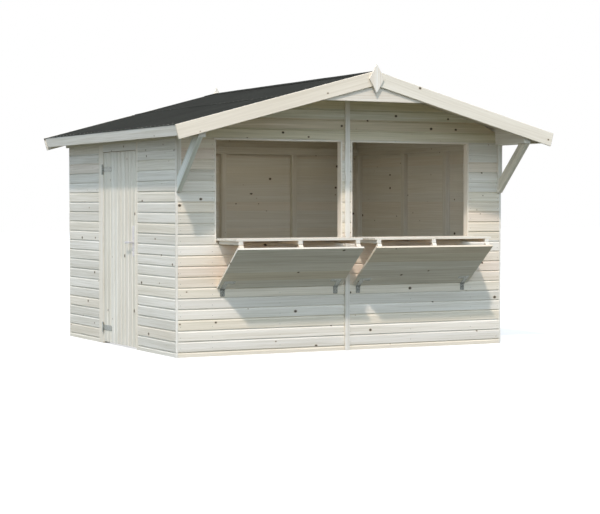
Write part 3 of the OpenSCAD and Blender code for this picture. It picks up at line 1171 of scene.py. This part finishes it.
@dataclass
class Roof:
    """The boarded and felted gable roof.

    Attributes:
        pitch: Cover width of a roof board.
        vee: Width and depth of the V between two boards.
        lap: Overlap of two felt strips.
        strip: Width of a felt strip down the slope.
        felt_t: Thickness of the felt.
        drop: Distance over which a strip's edge drops to the one below.
        ridge_half: Half width of the strip over the ridge.
        ridge_lift: How far that strip lies above the slope's felt.
        nail_gap: Distance between two clout nails.
    """

    pitch: float = 0.096
    vee: tuple[float, float] = (0.007, 0.004)
    lap: float = 0.08
    strip: float = 1.0
    felt_t: float = 0.0035
    drop: float = 0.003
    ridge_half: float = 0.16
    ridge_lift: float = 0.0045
    nail_gap: float = 0.10

    @staticmethod
    def slope(side: int, part: str) -> tuple[str, np.ndarray, np.ndarray, float]:
        """Find one slope of a layer of the roof.

        Args:
            side: +1 for the right slope and -1 for the left one.
            part: "boards" or "felt".

        Returns:
            Its node, its lowest and highest corner, and its reach from the ridge.
        """
        node = ("right" if side > 0 else "left") + "_roof_" + part
        low, high = corners(node)
        return node, low, high, max(abs(low[0]), abs(high[0]))

    @staticmethod
    def sheet(rows: np.ndarray, places: np.ndarray, top: np.ndarray, under: np.ndarray) -> Shell:
        """Close a sheet of felt between its upper and its lower surface.

        Each ring follows the upper surface from the first place to the last, then the lower
        surface back.

        Args:
            rows: Place of each ring along Y.
            places: Place of each point along X.
            top: Height of the upper surface, ring by point.
            under: Height of the lower surface at each point.

        Returns:
            The closed shell.
        """
        count = len(places)
        rings = np.empty((len(rows), 2 * count, 3))
        rings[:, :, 0] = np.concatenate([places, places[::-1]])[None, :]
        rings[:, :, 1] = rows[:, None]
        rings[:, :count, 2] = top
        rings[:, count:, 2] = under[None, ::-1]
        return ring_shell(rings)

    def boards(self, side: int) -> None:
        """Build one slope of roof boards, laid from ridge to eaves with a V in the soffit.

        Their lower ends are cut square to the slope.

        Args:
            side: +1 for the right slope and -1 for the left one.
        """
        node, low, high, reach = self.slope(side, "boards")
        top = high[2]
        thick = (top - low[2] - reach * ROOF_FALL) / math.cos(ROOF_PITCH)
        rows, _, recess = vee_joint(self.pitch, *self.vee).rows(low[1], high[1], low[1])
        rings = np.empty((len(rows), 4, 3))
        under = thick - recess
        rings[:, :, 0] = side * np.array([0.0, reach, reach, 0.0])[None, :]
        rings[:, 2, 0] -= side * under * math.sin(ROOF_PITCH)
        rings[:, :, 1] = rows[:, None]
        rings[:, 0, 2] = top
        rings[:, 1, 2] = top - reach * ROOF_FALL
        rings[:, 2, 2] = top - reach * ROOF_FALL - under * math.cos(ROOF_PITCH)
        rings[:, 3, 2] = top - under / math.cos(ROOF_PITCH)
        wood = Spruce("spruce_" + node, Axis.X, Axis.Y, turn=(0.0, -side * ROOF_PITCH, 0.0),
                      pitch=self.pitch, phase=low[1], seed=50 + side, light="E2DCCE",
                      dark="CBC2B0").material()
        make_piece(node + "_planks", [ring_shell(rings)], [wood], STALL, [node])

    def felt(self, side: int, finish: bpy.types.Material) -> None:
        """Build one slope of felt: strips along the eaves, each lapped over the one below.

        The upper face lies on the slope and steps up by the felt's thickness at each lap. It
        heaves by up to 1.2 mm, as the sum of two slow sine waves.

        Args:
            side: +1 for the right slope and -1 for the left one.
            finish: The felt.
        """
        node, low, high, reach = self.slope(side, "felt")
        edges = np.arange(reach - self.strip, 0.0, -self.strip)
        span = np.unique(np.concatenate([np.linspace(0.0, reach, 40), edges, edges + self.drop,
                                         edges - self.lap]))
        span = span[(span >= 0.0) & (span <= reach)]
        lift = np.zeros(len(span))
        for edge in edges:
            ramp = np.interp(span, [edge - self.lap, edge, edge + self.drop], [0.0, self.felt_t, 0.0])
            lift = np.maximum(lift, ramp)
        rows = np.linspace(low[1], high[1], 70)
        wave = 0.0006 * (np.sin(rows[:, None] * 5.1 + span[None, :] * 2.3 + side)
                         + np.sin(rows[:, None] * 2.2 - span[None, :] * 6.1))
        slope = high[2] - span * ROOF_FALL
        sheet = self.sheet(rows, side * span, slope[None, :] + lift[None, :] + wave, slope - 0.004)
        make_piece(node + "_strips", [sheet], [finish], STALL, [node])

    def ridge_strip(self, finish: bpy.types.Material) -> None:
        """Lay one felt strip over the ridge, rounded where it bends.

        Args:
            finish: The felt.
        """
        _, low, high, _ = self.slope(1, "felt")
        span = np.linspace(-self.ridge_half, self.ridge_half, 17)
        top = high[2] - np.abs(span) * ROOF_FALL + self.ridge_lift
        top -= 0.004 * np.exp(-(span / 0.02) ** 2)
        rows = np.linspace(low[1], high[1], 40)
        wavy = top[None, :] + 0.0006 * np.sin(rows[:, None] * 7.0)
        sheet = self.sheet(rows, span, wavy, top - self.felt_t)
        make_piece("ridge_felt_strip", [sheet], [finish], STALL)

    def clouts(self, side: int, zinc: bpy.types.Material) -> None:
        """Nail one slope of felt along its eaves, its laps, its ridge strip and both verges.

        Args:
            side: +1 for the right slope and -1 for the left one.
            zinc: The finish of the nails.
        """
        node, low, high, reach = self.slope(side, "felt")
        rows = np.arange(low[1] + 0.03, high[1], self.nail_gap)
        laps = np.append(np.arange(reach - self.strip, 0.0, -self.strip) - 0.03, reach - 0.03)
        level = np.stack(np.meshgrid(laps, rows), axis=-1).reshape(-1, 2)
        slope = np.arange(0.2, reach - 0.05, self.nail_gap)
        edge = np.stack(np.meshgrid(slope, [low[1] + 0.02, high[1] - 0.02]), axis=-1).reshape(-1, 2)
        flat = np.concatenate([level, edge])
        spots = np.stack([side * flat[:, 0], flat[:, 1], high[2] - flat[:, 0] * ROOF_FALL], axis=1)
        facing = np.array([side * math.sin(ROOF_PITCH), 0.0, math.cos(ROOF_PITCH)])
        heads = Nails(radius=0.0048, stand=0.0026).shell(spots, facing)
        make_piece(node + "_clout_nails", [heads], [zinc], STALL)

    def build(self, zinc: bpy.types.Material) -> None:
        """Build both slopes and the ridge strip.

        Args:
            zinc: The finish of the nails.
        """
        felt = RoofingFelt().material()
        for side in (-1, 1):
            self.boards(side)
            self.felt(side, felt)
            self.clouts(side, zinc)
        self.ridge_strip(felt)


@dataclass
class Trim:
    """Beams, rails, studs, posts, verges, fascias, braces and linings in planed spruce."""

    @staticmethod
    def woods(name: str, seed: float, across: Axis | None = None,
              **looks: float | str) -> dict[Axis, bpy.types.Material]:
        """Make one calm wood for each way that a timber can run.

        Args:
            name: Name of the set.
            seed: Pattern shift of the first one.
            across: Axis across the grain, or None for Z, with X where the timber is upright.
            **looks: Other values of the wood.

        Returns:
            The woods by the axis along their grain.
        """
        return {axis: Spruce(f"spruce_{name}_{axis.name.lower()}", axis,
                             across or (Axis.X if axis is Axis.Z else Axis.Z),
                             seed=seed + axis.value, vary=0.1, **looks).material()
                for axis in Axis if axis is not across}

    def build(self) -> None:
        """Dress every straight timber of the stall."""
        boards = Timbers("spruce_boards", self.woods("trim", 60, knots=0.3))
        framing = Timbers("frame_wood", self.woods("frame", 64, knots=0.3, light="E6E1D5", dark="D2CBBC"))
        lined = self.woods("lining", 130, Axis.Y, knots=0.2, light="EDE6D8", dark="E0D5C3")
        # no lining board runs from front to back, so that axis repeats another's wood
        lining = Timbers("spruce_boards", {**lined, Axis.Y: lined[Axis.X]})
        cream = Timbers("spruce_boards",
                        self.woods("cream", 140, knots=0.3, light="E8E1D3", dark="DACFBE"))
        for node in ("front_corner_trims", "rear_corner_trims", "left_eaves_beam", "right_eaves_beam",
                     "ridge_beam", "left_fascia", "right_fascia", "brace_cleats", "centre_batten"):
            boards.dress(node)
        cream.dress("front_gable_board")
        for node in ("left_opening_lining", "right_opening_lining"):
            lining.dress(node)
        post = Spruce("spruce_door_posts", Axis.Z, Axis.Y, seed=68, knots=0.3, light="E9E3D5", dark="DBD3C2",
                      vary=0.1).material()
        boards.dress("door_posts", finish=post)
        for node in ("bottom_rails", "top_rails", "front_wall_posts", "front_header",
                     "rear_wall_studs", "right_wall_studs", "left_wall_studs"):
            framing.dress(node)
        for number, (node, side) in enumerate((("front_verge_left", -1), ("front_verge_right", 1))):
            wood = Spruce("spruce_" + node, Axis.X, Axis.Z, turn=(0.0, -side * ROOF_PITCH, 0.0),
                          seed=70 + number, knots=0.6, dark="DFDACE").material()
            boards.dress(node, ease=0.004, finish=wood)
        for node in ("rear_verge_boards", "front_finial", "rear_finial"):
            cream.dress(node, ease=0.004)
        for node in ("left_brace", "right_brace"):
            # painted shade: a cooler, greyer copy of the spruce carries the blue of the shade round the
            # braces
            wood = Spruce("spruce_" + node, Axis.Z, Axis.Y, turn=(-math.pi / 4.0, 0.0, 0.0),
                          seed=80 + (node == "left_brace"), knots=0.3, light="E4E6DD",
                          dark="CDD0C5").material()
            boards.dress(node, finish=wood)


@dataclass
class Hatch:
    """One counter with the braced flap under it.

    Attributes:
        side: "left" or "right".
        board: Thickness of the counter and flap boards.
        rib: Height of the battens.
        rib_width: Width of the battens.
        rib_inset: How far the end battens stay in from the ends of the boards.
        counter_pitch: Cover width of a counter board.
        flap_pitch: Cover width of a flap board.
        vee: Width and depth of the fine V between two boards.
        leaf: Width of a hinge's leaf on the wall.
        metal: Thickness of a hinge's sheet metal.
        strap: Half length and half width of a hinge's strap, and its height up the flap.
    """

    side: str
    board: float = 0.018
    rib: float = 0.033
    rib_width: float = 0.045
    rib_inset: float = 0.024
    counter_pitch: float = 0.1220
    flap_pitch: float = 0.1185
    vee: tuple[float, float] = (0.0016, 0.0012)
    leaf: float = 0.045
    metal: float = 0.003
    strap: tuple[float, float, float] = (0.0575, 0.017, 0.083)

    def spans(self, low: float, high: float) -> list[tuple[float, float]]:
        """Place three battens: one near each end and one in the middle.

        Args:
            low: Left end of the boards.
            high: Right end of the boards.

        Returns:
            Left and right side of each batten.
        """
        starts = (low + self.rib_inset, (low + high - self.rib_width) / 2.0,
                  high - self.rib_inset - self.rib_width)
        return [(start, start + self.rib_width) for start in starts]

    def counter(self, seed: float) -> None:
        """Build the counter boards and the battens under them.

        Args:
            seed: Pattern shift.
        """
        node = self.side + "_counter"
        low, high = corners(node)
        sill_low, sill_high = corners("front_wall_lower")
        under = high[2] - self.board
        top = BoardPanel(node, np.array([low[0], low[1], under]), high, Axis.X, Axis.Y, 1,
                         vee_joint(self.counter_pitch, *self.vee), low[1])
        wood = partial(Spruce, grain=Axis.X, across=Axis.Y, pitch=self.counter_pitch, phase=low[1],
                       knots=0.3)
        # the second wood is painted light: a warmer, brighter copy of the spruce for the bounce light
        # between counter and flap
        woods = [wood("spruce_" + node, seed=seed).material(),
                 wood(f"spruce_{node}_underside", seed=seed + 3, light="FAEBD3", dark="F2DDBF").material()]
        make_piece(node + "_boards", [top.shell(1)], woods, STALL, [node])
        ribs = [bar((a, low[1], under - self.rib), (b, sill_low[1], under), Axis.Y)
                for a, b in self.spans(low[0], high[0])]
        ribs.append(bar((low[0], sill_high[1], sill_high[2]), (high[0], high[1], under), Axis.X,
                        finish=1))
        rib_wood = Spruce("spruce_" + node + "_battens", Axis.Y, Axis.X, seed=seed + 1, knots=0.1)
        sill_wood = Spruce("spruce_" + node + "_sill", Axis.X, Axis.Y, seed=seed + 2, knots=0.2)
        make_piece(node + "_battens", ribs, [rib_wood.material(), sill_wood.material()], STALL)

    def lean(self, low: np.ndarray, high: np.ndarray) -> tuple[float, float]:
        """Find the flap's slant and length from its box, by halving the bracket.

        With slant a, length L, board t and batten r, the box is L sin a + t cos a deep and
        L cos a + (t + r) sin a high.

        Args:
            low: Lowest corner of the flap.
            high: Highest corner of the flap.

        Returns:
            The slant from upright in radians, and the length.
        """
        deep = high[1] - low[1]
        tall = high[2] - low[2]
        small, large = math.radians(20.0), math.radians(80.0)
        for _ in range(50):
            slant = (small + large) / 2.0
            length = (deep - self.board * math.cos(slant)) / math.sin(slant)
            height = length * math.cos(slant) + (self.board + self.rib) * math.sin(slant)
            if height > tall:
                small = slant
            else:
                large = slant
        return slant, length

    def flap(self, seed: float) -> tuple[float, tuple[float, float, float]]:
        """Build the flap boards and the battens on their inner face.

        Args:
            seed: Pattern shift.

        Returns:
            The slant, and the place of the lower outer edge.
        """
        node = self.side + "_flap"
        low, high = corners(node)
        slant, length = self.lean(low, high)
        foot = (0.0, high[1] - self.board * math.cos(slant), low[2])
        turn = (slant, 0.0, 0.0)
        back = (-slant, 0.0, 0.0)
        panel = BoardPanel(node, np.array([low[0], 0.0, 0.0]), np.array([high[0], self.board, length]),
                           Axis.X, Axis.Z, -1, vee_joint(self.flap_pitch, *self.vee), 0.02)
        # painted shade: a darker copy of the spruce for the flap's outer face, which always lies in shade
        wood = Spruce("spruce_" + node, Axis.X, Axis.Z, turn=back, pitch=self.flap_pitch, seed=seed,
                      knots=0.6, light="E3DFD3", dark="CEC7B8").material()
        # painted light: the inner face takes a warm, bright copy of the spruce for the bounce light between
        # counter and flap
        inner = Spruce("spruce_" + node + "_inner_face_painted_bounce", Axis.X, Axis.Z, turn=back,
                       pitch=self.flap_pitch, seed=seed + 2, knots=0.3, light="FAEBD3",
                       dark="F2DDBF").material()
        make_piece(node + "_boards", [panel.shell(1).moved(turn, foot)], [wood, inner],
                   STALL, [node])
        ribs = [bar((a, self.board, 0.06), (b, self.board + self.rib, length), Axis.Z).moved(turn, foot)
                for a, b in self.spans(low[0], high[0])]
        rib_wood = Spruce("spruce_" + node + "_battens", Axis.Z, Axis.X, turn=back,
                          seed=seed + 1, knots=0.1).material()
        make_piece(node + "_battens", ribs, [rib_wood], STALL)
        return slant, foot

    def hinges(self, slant: float, foot: tuple[float, float, float],
               finishes: Sequence[bpy.types.Material]) -> None:
        """Build the two hinges at the foot of the flap: a leaf on the wall, a barrel and a strap.

        Args:
            slant: The flap's slant from upright.
            foot: The place of its lower outer edge.
            finishes: The metal on the flap, and the metal on the wall, which is painted darker for the shade
                under the flap.
        """
        node = self.side + "_flap_hinges"
        low, high = corners(node)
        wall = corners("front_wall_lower")[0][1]
        half = self.leaf / 2.0
        strap_half, strap_rise, up = self.strap
        top = foot[2] - 0.006
        middle = (top + low[2]) / 2.0
        barrel = ((0.0045, 0.0), (0.006, 0.001), (0.006, 0.0135), (0.0045, 0.0145))
        along = (0.0, math.pi / 2.0, 0.0)
        shells: list[Shell] = []
        for first, hand in ((low[0], 1.0), (high[0], -1.0)):
            centre = first + hand * half
            # the leaf and its barrels take finish 1, the zinc painted darker for the shade under the flap
            shells.append(plate(half, (top - low[2]) / 2.0, self.metal, 0.006, 1)
                          .moved(OUT_OF_FRONT, (centre, wall, middle)))
            shells += screws(OUT_OF_FRONT, [
                (centre + dx, wall - 0.0028, middle + dz)
                for dx, dz in ((-0.012, -0.018), (0.012, -0.018), (-0.012, 0.012), (0.012, 0.012))])
            shells += [turned(barrel, finish=1)
                       .moved(along, (centre + k * 0.015 - 0.00725, wall - 0.007, foot[2] - 0.010))
                       for k in (-1, 0, 1)]
            local = [plate(strap_half, strap_rise, self.metal, 0.008)
                     .moved(OUT_OF_FRONT, (first + hand * strap_half, 0.0, up)),
                     bar((centre - half, -0.0029, -0.008), (centre + half, -0.0001, 0.070), Axis.Z, 0.0006)]
            local += screws(OUT_OF_FRONT, [
                (first + hand * du, -0.0028, height)
                for du, height in ((0.012, up), (0.045, up), (0.078, up), (0.103, up),
                                   (0.012, 0.030), (0.033, 0.030))])
            shells += [shell.moved((slant, 0.0, 0.0), foot) for shell in local]
        make_piece(node + "_zinc", shells, finishes, STALL, [node])

    def build(self, seed: float, zinc: bpy.types.Material, shade_painted_zinc: bpy.types.Material) -> None:
        """Build the whole hatch.

        Args:
            seed: Pattern shift.
            zinc: The finish of its hinges on the flap.
            shade_painted_zinc: The zinc of their leaves on the wall, painted darker for the shade under the
                flap.
        """
        self.counter(seed)
        slant, foot = self.flap(seed + 4)
        self.hinges(slant, foot, [zinc, shade_painted_zinc])


@dataclass
class SideDoor:
    """The boarded side door with its ledges, strap hinges and lever lock.

    Attributes:
        boards: Number of upright boards.
        spindle: Height of the lever.
        keyhole: Height of the lock's cylinder.
        lock_half: Half width of the lock plates.
        pin_in: Distance of the hinge pins in from the straps' ends.
        knuckle: Half height of a strap's end.
    """

    boards: int = 9
    spindle: float = 1.010
    keyhole: float = 0.930
    lock_half: float = 0.021
    pin_in: float = 0.008
    knuckle: float = 0.0175

    def leaf(self) -> None:
        """Build the leaf of upright tongued boards."""
        low, high = corners("door_leaf")
        pitch = (high[1] - low[1]) / self.boards
        panel = BoardPanel("door_leaf", low, high, Axis.Z, Axis.Y, -1,
                           open_vee_joint(pitch, 0.020, 0.007, 0.007, 0.014), low[1])
        # painted shade: a darker copy of the spruce, for the lesser light on the door's side
        wood = Spruce("spruce_door_leaf", Axis.Z, Axis.Y, pitch=pitch, phase=low[1], seed=110,
                      knots=0.7, vary=0.2, light="E6E3D7", dark="D0CBBB").material()
        make_piece("door_leaf_boards", [panel.shell()], [wood], DOOR, ["door_leaf"])

    def lock(self, aluminium: bpy.types.Material) -> None:
        """Build the long lock plates with a lever handle on both sides.

        Args:
            aluminium: The finish.
        """
        low, high = corners("door_lock")
        leaf_low, leaf_high = corners("door_leaf")
        middle = (low[2] + high[2]) / 2.0
        tall = (high[2] - low[2]) / 2.0
        reach = tall - 0.015
        hub = low[1] + self.lock_half
        rose = ((0.012, 0.0), (0.012, 0.005), (0.008, 0.006), (0.008, 0.044), (0.006, 0.046))
        barrel = ((0.009, 0.0), (0.009, 0.004), (0.0075, 0.005))
        shells: list[Shell] = []
        for face, sign in ((leaf_low[0], -1.0), (leaf_high[0], 1.0)):
            facing = (0.0, sign * math.pi / 2.0, 0.0)
            # the plate's length runs up, its width along the wall
            shells.append(plate(tall, self.lock_half, 0.003, 0.010).moved(facing, (face, hub, middle)))
            shells += screws(facing, [(face + sign * 0.0028, hub, middle + dz) for dz in (-reach, reach)],
                             0.004)
            shells += [turned(profile).moved(facing, (face + sign * 0.0025, hub, height))
                       for profile, height in ((rose, self.spindle), (barrel, self.keyhole))]
            shells.append(self.lever(face + sign * 0.043, hub, self.spindle))
        make_piece("door_lock_set", shells, [aluminium], DOOR, ["door_lock"])

    def lever(self, x: float, y: float, z: float) -> Shell:
        """Sweep an oval section along the lever, which droops slightly at its end.

        Args:
            x: Distance of the lever's middle from the stall's middle plane.
            y: Place of the spindle along the wall.
            z: Height of the spindle.

        Returns:
            The closed shell.
        """
        t = np.linspace(0.0, 1.0, 14)
        around = np.arange(14) * 2.0 * math.pi / 14
        swell = np.sqrt(np.clip(1.0 - (2.0 * t - 1.0) ** 8, 0.04, 1.0))
        rings = np.empty((14, 14, 3))
        rings[..., 0] = x + (0.006 * swell)[:, None] * np.cos(around)[None, :]
        rings[..., 1] = (y - 0.010 + 0.128 * t)[:, None]
        rings[..., 2] = (z - 0.004 * t ** 2)[:, None] + (0.010 * swell)[:, None] * np.sin(around)[None, :]
        return ring_shell(rings)

    def strap(self, height: float, hinge_y: float, hinge_x: float, face: float) -> list[Shell]:
        """Build one flat strap, narrowed to the barrel it turns on.

        Args:
            height: Height of its middle.
            hinge_y: Place of the pin along the wall.
            hinge_x: Place of the pin out from the wall.
            face: Outer face of the door.

        Returns:
            Its shells.
        """
        near = hinge_y - 0.0055
        far = hinge_y - 0.2215
        y = np.array([near, near - 0.008, near - 0.013, far + 0.010, far + 0.003, far])
        half = np.array([self.knuckle, self.knuckle, 0.0238, 0.0238, 0.0215, 0.016])
        outline = np.concatenate([np.stack([y, height + half], axis=1),
                                  np.stack([y[::-1], height - half[::-1]], axis=1)])
        rings = np.empty((3, len(outline), 3))
        rings[..., 0] = np.array([face, face - 0.003, face - 0.0038])[:, None]
        rings[:, :, 1:] = outline[None, :, :]
        rings[2, :, 1:] += (outline.mean(axis=0) - outline) * np.array([0.006, 0.06])
        arm = np.array([[face - 0.0003, hinge_y - 0.005], [face - 0.0035, hinge_y - 0.0085],
                        [hinge_x, hinge_y - 0.008], [hinge_x + 0.004, hinge_y - 0.006]])
        ends = np.empty((2, 4, 3))
        ends[:, :, :2] = arm[None, :, :]
        ends[:, :, 2] = (height + np.array([-self.knuckle, self.knuckle]))[:, None]
        eye = self.eye(0.0053, 0.008, 2.0 * self.knuckle)
        heads = screws(OUT_OF_LEFT, [(face - 0.0035, hinge_y - du - 0.008, height)
                                     for du in (0.035, 0.085, 0.135, 0.185)])
        return [ring_shell(rings), ring_shell(ends),
                eye.moved(UNTURNED, (hinge_x, hinge_y, height - self.knuckle)), *heads]

    @staticmethod
    def eye(inner: float, outer: float, length: float) -> Shell:
        """Make a hollow barrel along W: a ring section carried round the axis.

        Args:
            inner: Radius of the bore.
            outer: Outer radius.
            length: Length.

        Returns:
            The closed shell.
        """
        section = np.array([[inner, 0.0], [outer - 0.0007, 0.0], [outer, 0.0007],
                            [outer, length - 0.0007], [outer - 0.0007, length], [inner, length]])
        sides = 24
        angle = np.arange(sides) * 2.0 * math.pi / sides
        grid = np.empty((sides, len(section), 3))
        grid[..., 0] = section[None, :, 0] * np.cos(angle)[:, None]
        grid[..., 1] = section[None, :, 0] * np.sin(angle)[:, None]
        grid[..., 2] = section[None, :, 1]
        index = np.arange(sides * len(section)).reshape(sides, len(section))
        ahead = np.roll(index, -1, axis=1)
        beyond = np.roll(index, -1, axis=0)
        both = np.roll(ahead, -1, axis=0)
        quads = np.stack([index, ahead, both, beyond], axis=-1).reshape(-1, 4)
        return Shell(grid.reshape(-1, 3), quads).outward()

    def fittings(self, zinc: bpy.types.Material) -> None:
        """Build the straps on the door and the hinge plates on its post.

        Args:
            zinc: The finish.
        """
        strap_low, strap_high = corners("door_straps")
        face = corners("door_leaf")[0][0]
        hinge_y = strap_high[1] - self.pin_in
        hinge_x = strap_low[0] + self.pin_in
        first = hinge_y + 0.009
        width = corners("door_hinge_plates")[1][1] - first
        middle = first + width / 2.0
        barrel = ((0.0072, -0.015), (0.008, -0.0142), (0.008, 0.0142), (0.0072, 0.015))
        pin = ((0.0044, -0.045), (0.005, -0.0444), (0.005, 0.0444), (0.0044, 0.045))
        straps: list[Shell] = []
        plates: list[Shell] = []
        for height in (strap_low[2] + 0.024, strap_high[2] - 0.024):
            straps += self.strap(height, hinge_y, hinge_x, face)
            plates.append(plate(0.050, width / 2.0, 0.004, 0.005).moved(OUT_OF_LEFT, (face, middle, height)))
            plates += screws(OUT_OF_LEFT, [(face - 0.0038, middle, height + dz)
                                           for dz in (-0.036, 0.0, 0.036)])
            for centre in (height - 0.034, height + 0.034):
                plates.append(turned(barrel).moved(UNTURNED, (hinge_x, hinge_y, centre)))
                plates.append(bar((hinge_x + 0.001, hinge_y + 0.002, centre - 0.0148),
                                  (face - 0.0005, hinge_y + 0.011, centre + 0.0148), Axis.Z, 0.0006))
            plates.append(turned(pin).moved(UNTURNED, (hinge_x, hinge_y, height)))
        make_piece("door_straps_zinc", straps, [zinc], DOOR, ["door_straps"])
        make_piece("door_hinge_plates_zinc", plates, [zinc], STALL,
                   ["door_hinge_plates"])

    def build(self, zinc: bpy.types.Material, aluminium: bpy.types.Material) -> None:
        """Build the whole door.

        Args:
            zinc: The finish of its hinges.
            aluminium: The finish of its lock.
        """
        self.leaf()
        wood = Spruce("spruce_door_ledges", Axis.Y, Axis.Z, seed=112, knots=0.3).material()
        Timbers("frame_wood", {}).dress("door_ledges", DOOR, finish=wood)
        self.lock(aluminium)
        self.fittings(zinc)


@dataclass
class Studio:
    """A plain pale floor, a pale surround, the lamps and the camera.

    Attributes:
        floor_half: Half the side of the floor.
        key_direction: Way that the light of the key lamp and its halo travels.
        key_strength: Strength of the key lamp, which draws the hard shadows.
        key_spread: Angle that the key lamp fills.
        halo_strength: Strength of the wide glow round the key lamp, which softens the shade.
        halo_spread: Angle that the halo fills.
        sky_strength: Strength of the pale blue surround as light.
        fill_size: Sides of the soft lamp in the room.
        fill_place: Its place, under the roof.
        fill_power: Its power in watts.
        lens: Focal length in millimetres.
        sensor: Width of the camera's sensor in millimetres.
        eye: Place of the camera.
        yaw: Turn of the camera to the right.
        tilt: Turn of the camera upwards.
    """

    floor_half: float = 60.0
    key_direction: tuple[float, float, float] = (0.72, 1.0, -1.57)
    key_strength: float = 2.32
    key_spread: float = math.radians(2.5)
    halo_strength: float = 1.0
    halo_spread: float = math.radians(95.0)
    sky_strength: float = 1.08
    fill_size: tuple[float, float] = (2.55, 2.2)
    fill_place: tuple[float, float, float] = (-0.15, 0.2, 2.08)
    fill_power: float = 7.8
    lens: float = 100.2
    sensor: float = 36.0
    eye: tuple[float, float, float] = (-7.5948, -14.8626, 1.3774)
    yaw: float = math.radians(27.44)
    tilt: float = math.radians(-1.842)

    def camera(self) -> None:
        """Place the camera at the viewing angle."""
        lens = bpy.data.cameras.new("view")
        lens.lens = self.lens
        lens.sensor_width = self.sensor
        lens.clip_end = 200.0
        camera = add_object("view", lens)
        camera.location = self.eye
        camera.rotation_euler = (math.pi / 2.0 + self.tilt, 0.0, -self.yaw)
        bpy.context.scene.camera = camera

    @staticmethod
    def seen(tree: bpy.types.NodeTree) -> Socket:
        """Tell rays that show the surface itself from rays that only carry its light.

        Args:
            tree: A material's or the world's node tree.

        Returns:
            A socket that is 1 for what is seen straight, in gloss or through glass, else 0.
        """
        path = add_node(tree, "LightPath")
        plain = add_node(tree, "Math", {0: path.outputs["Is Camera Ray"], 1: path.outputs["Is Glossy Ray"]},
                         operation="MAXIMUM")
        return add_node(tree, "Math", {0: plain.outputs[0], 1: path.outputs["Is Transmission Ray"]},
                        operation="MAXIMUM").outputs[0]

    def floor(self) -> None:
        """Lay a pale floor, which sends little light back up under the flaps."""
        half = self.floor_half
        mesh = bpy.data.meshes.new("floor")
        mesh.from_pydata([(-half, -half, 0.0), (half, -half, 0.0), (half, half, 0.0), (-half, half, 0.0)],
                         [], [(0, 1, 2, 3)])
        mat, tree = new_material("pale_floor")
        glow = add_node(tree, "Emission", {"Color": linear("FFFFFF"), "Strength": 0.62})
        pale = add_node(tree, "BsdfDiffuse", {"Color": linear("AEAEAE")})
        dull = add_node(tree, "BsdfDiffuse", {"Color": linear("4F4F3E")})
        bright = add_node(tree, "AddShader", {0: glow.outputs[0], 1: pale.outputs[0]})
        mix = add_node(tree, "MixShader", {0: self.seen(tree), 1: dull.outputs[0], 2: bright.outputs[0]})
        add_node(tree, "OutputMaterial", {"Surface": mix.outputs[0]})
        mesh.materials.append(mat)
        add_object("floor", mesh)

    def lights(self) -> None:
        """Light the stall from the upper left front, with an even pale surround."""
        x, y, z = self.key_direction
        for name, strength, spread, colour in (
                ("key", self.key_strength, self.key_spread, "FFF0E7"),
                ("halo", self.halo_strength, self.halo_spread, "E7F9FF")):
            sun = bpy.data.lights.new(name, "SUN")
            sun.energy = strength
            sun.color = linear(colour)[:3]
            sun.angle = spread
            lamp = add_object(name, sun)
            lamp.rotation_euler = (math.atan2(math.hypot(x, y), -z), 0.0, math.atan2(y, x) - math.pi / 2.0)
        fill = bpy.data.lights.new("room_fill", "AREA")
        fill.shape = "RECTANGLE"
        fill.size, fill.size_y = self.fill_size
        fill.energy = self.fill_power
        fill.color = linear("FFF8E5")[:3]
        soft = add_object("room_fill", fill)
        soft.location = self.fill_place
        soft.visible_camera = False
        soft.visible_glossy = False
        world = bpy.data.worlds.new("surround")
        bpy.context.scene.world = world
        world.use_nodes = True
        tree = world.node_tree
        tree.nodes.clear()
        sky = add_node(tree, "Background", {"Color": linear("DDECFF"), "Strength": self.sky_strength})
        white = add_node(tree, "Background", {"Color": linear("FFFFFF"), "Strength": 1.0})
        mix = add_node(tree, "MixShader", {0: self.seen(tree), 1: sky.outputs[0], 2: white.outputs[0]})
        add_node(tree, "OutputWorld", {"Surface": mix.outputs[0]})

    def build(self) -> None:
        """Set up the camera, floor and lights."""
        self.camera()
        self.floor()
        self.lights()
        bpy.context.scene.view_settings.view_transform = "Standard"


def main() -> None:
    """Build the stall, sub-assembly by sub-assembly."""
    logging.basicConfig(level=logging.INFO, format="%(name)s %(message)s")
    Studio().build()
    zinc = SheetMetal().material()
    # painted shade: a darker, duller zinc for the hinge leaves in the shade under the flaps
    shade_painted_zinc = SheetMetal("galvanised_steel_painted_shade", "8F918A", "50534D", 0.35, 0.5).material()
    aluminium = SheetMetal("satin_anodised_aluminium", "D6D3D2", "C2C0C1", 0.5, 0.45).material()
    walls = Walls()
    walls.build()
    walls.nail(zinc)
    Roof().build(zinc)
    Trim().build()
    Hatch("left").build(90.0, zinc, shade_painted_zinc)
    Hatch("right").build(100.0, zinc, shade_painted_zinc)
    SideDoor().build(zinc, aluminium)


if __name__ == "__main__":
    main()
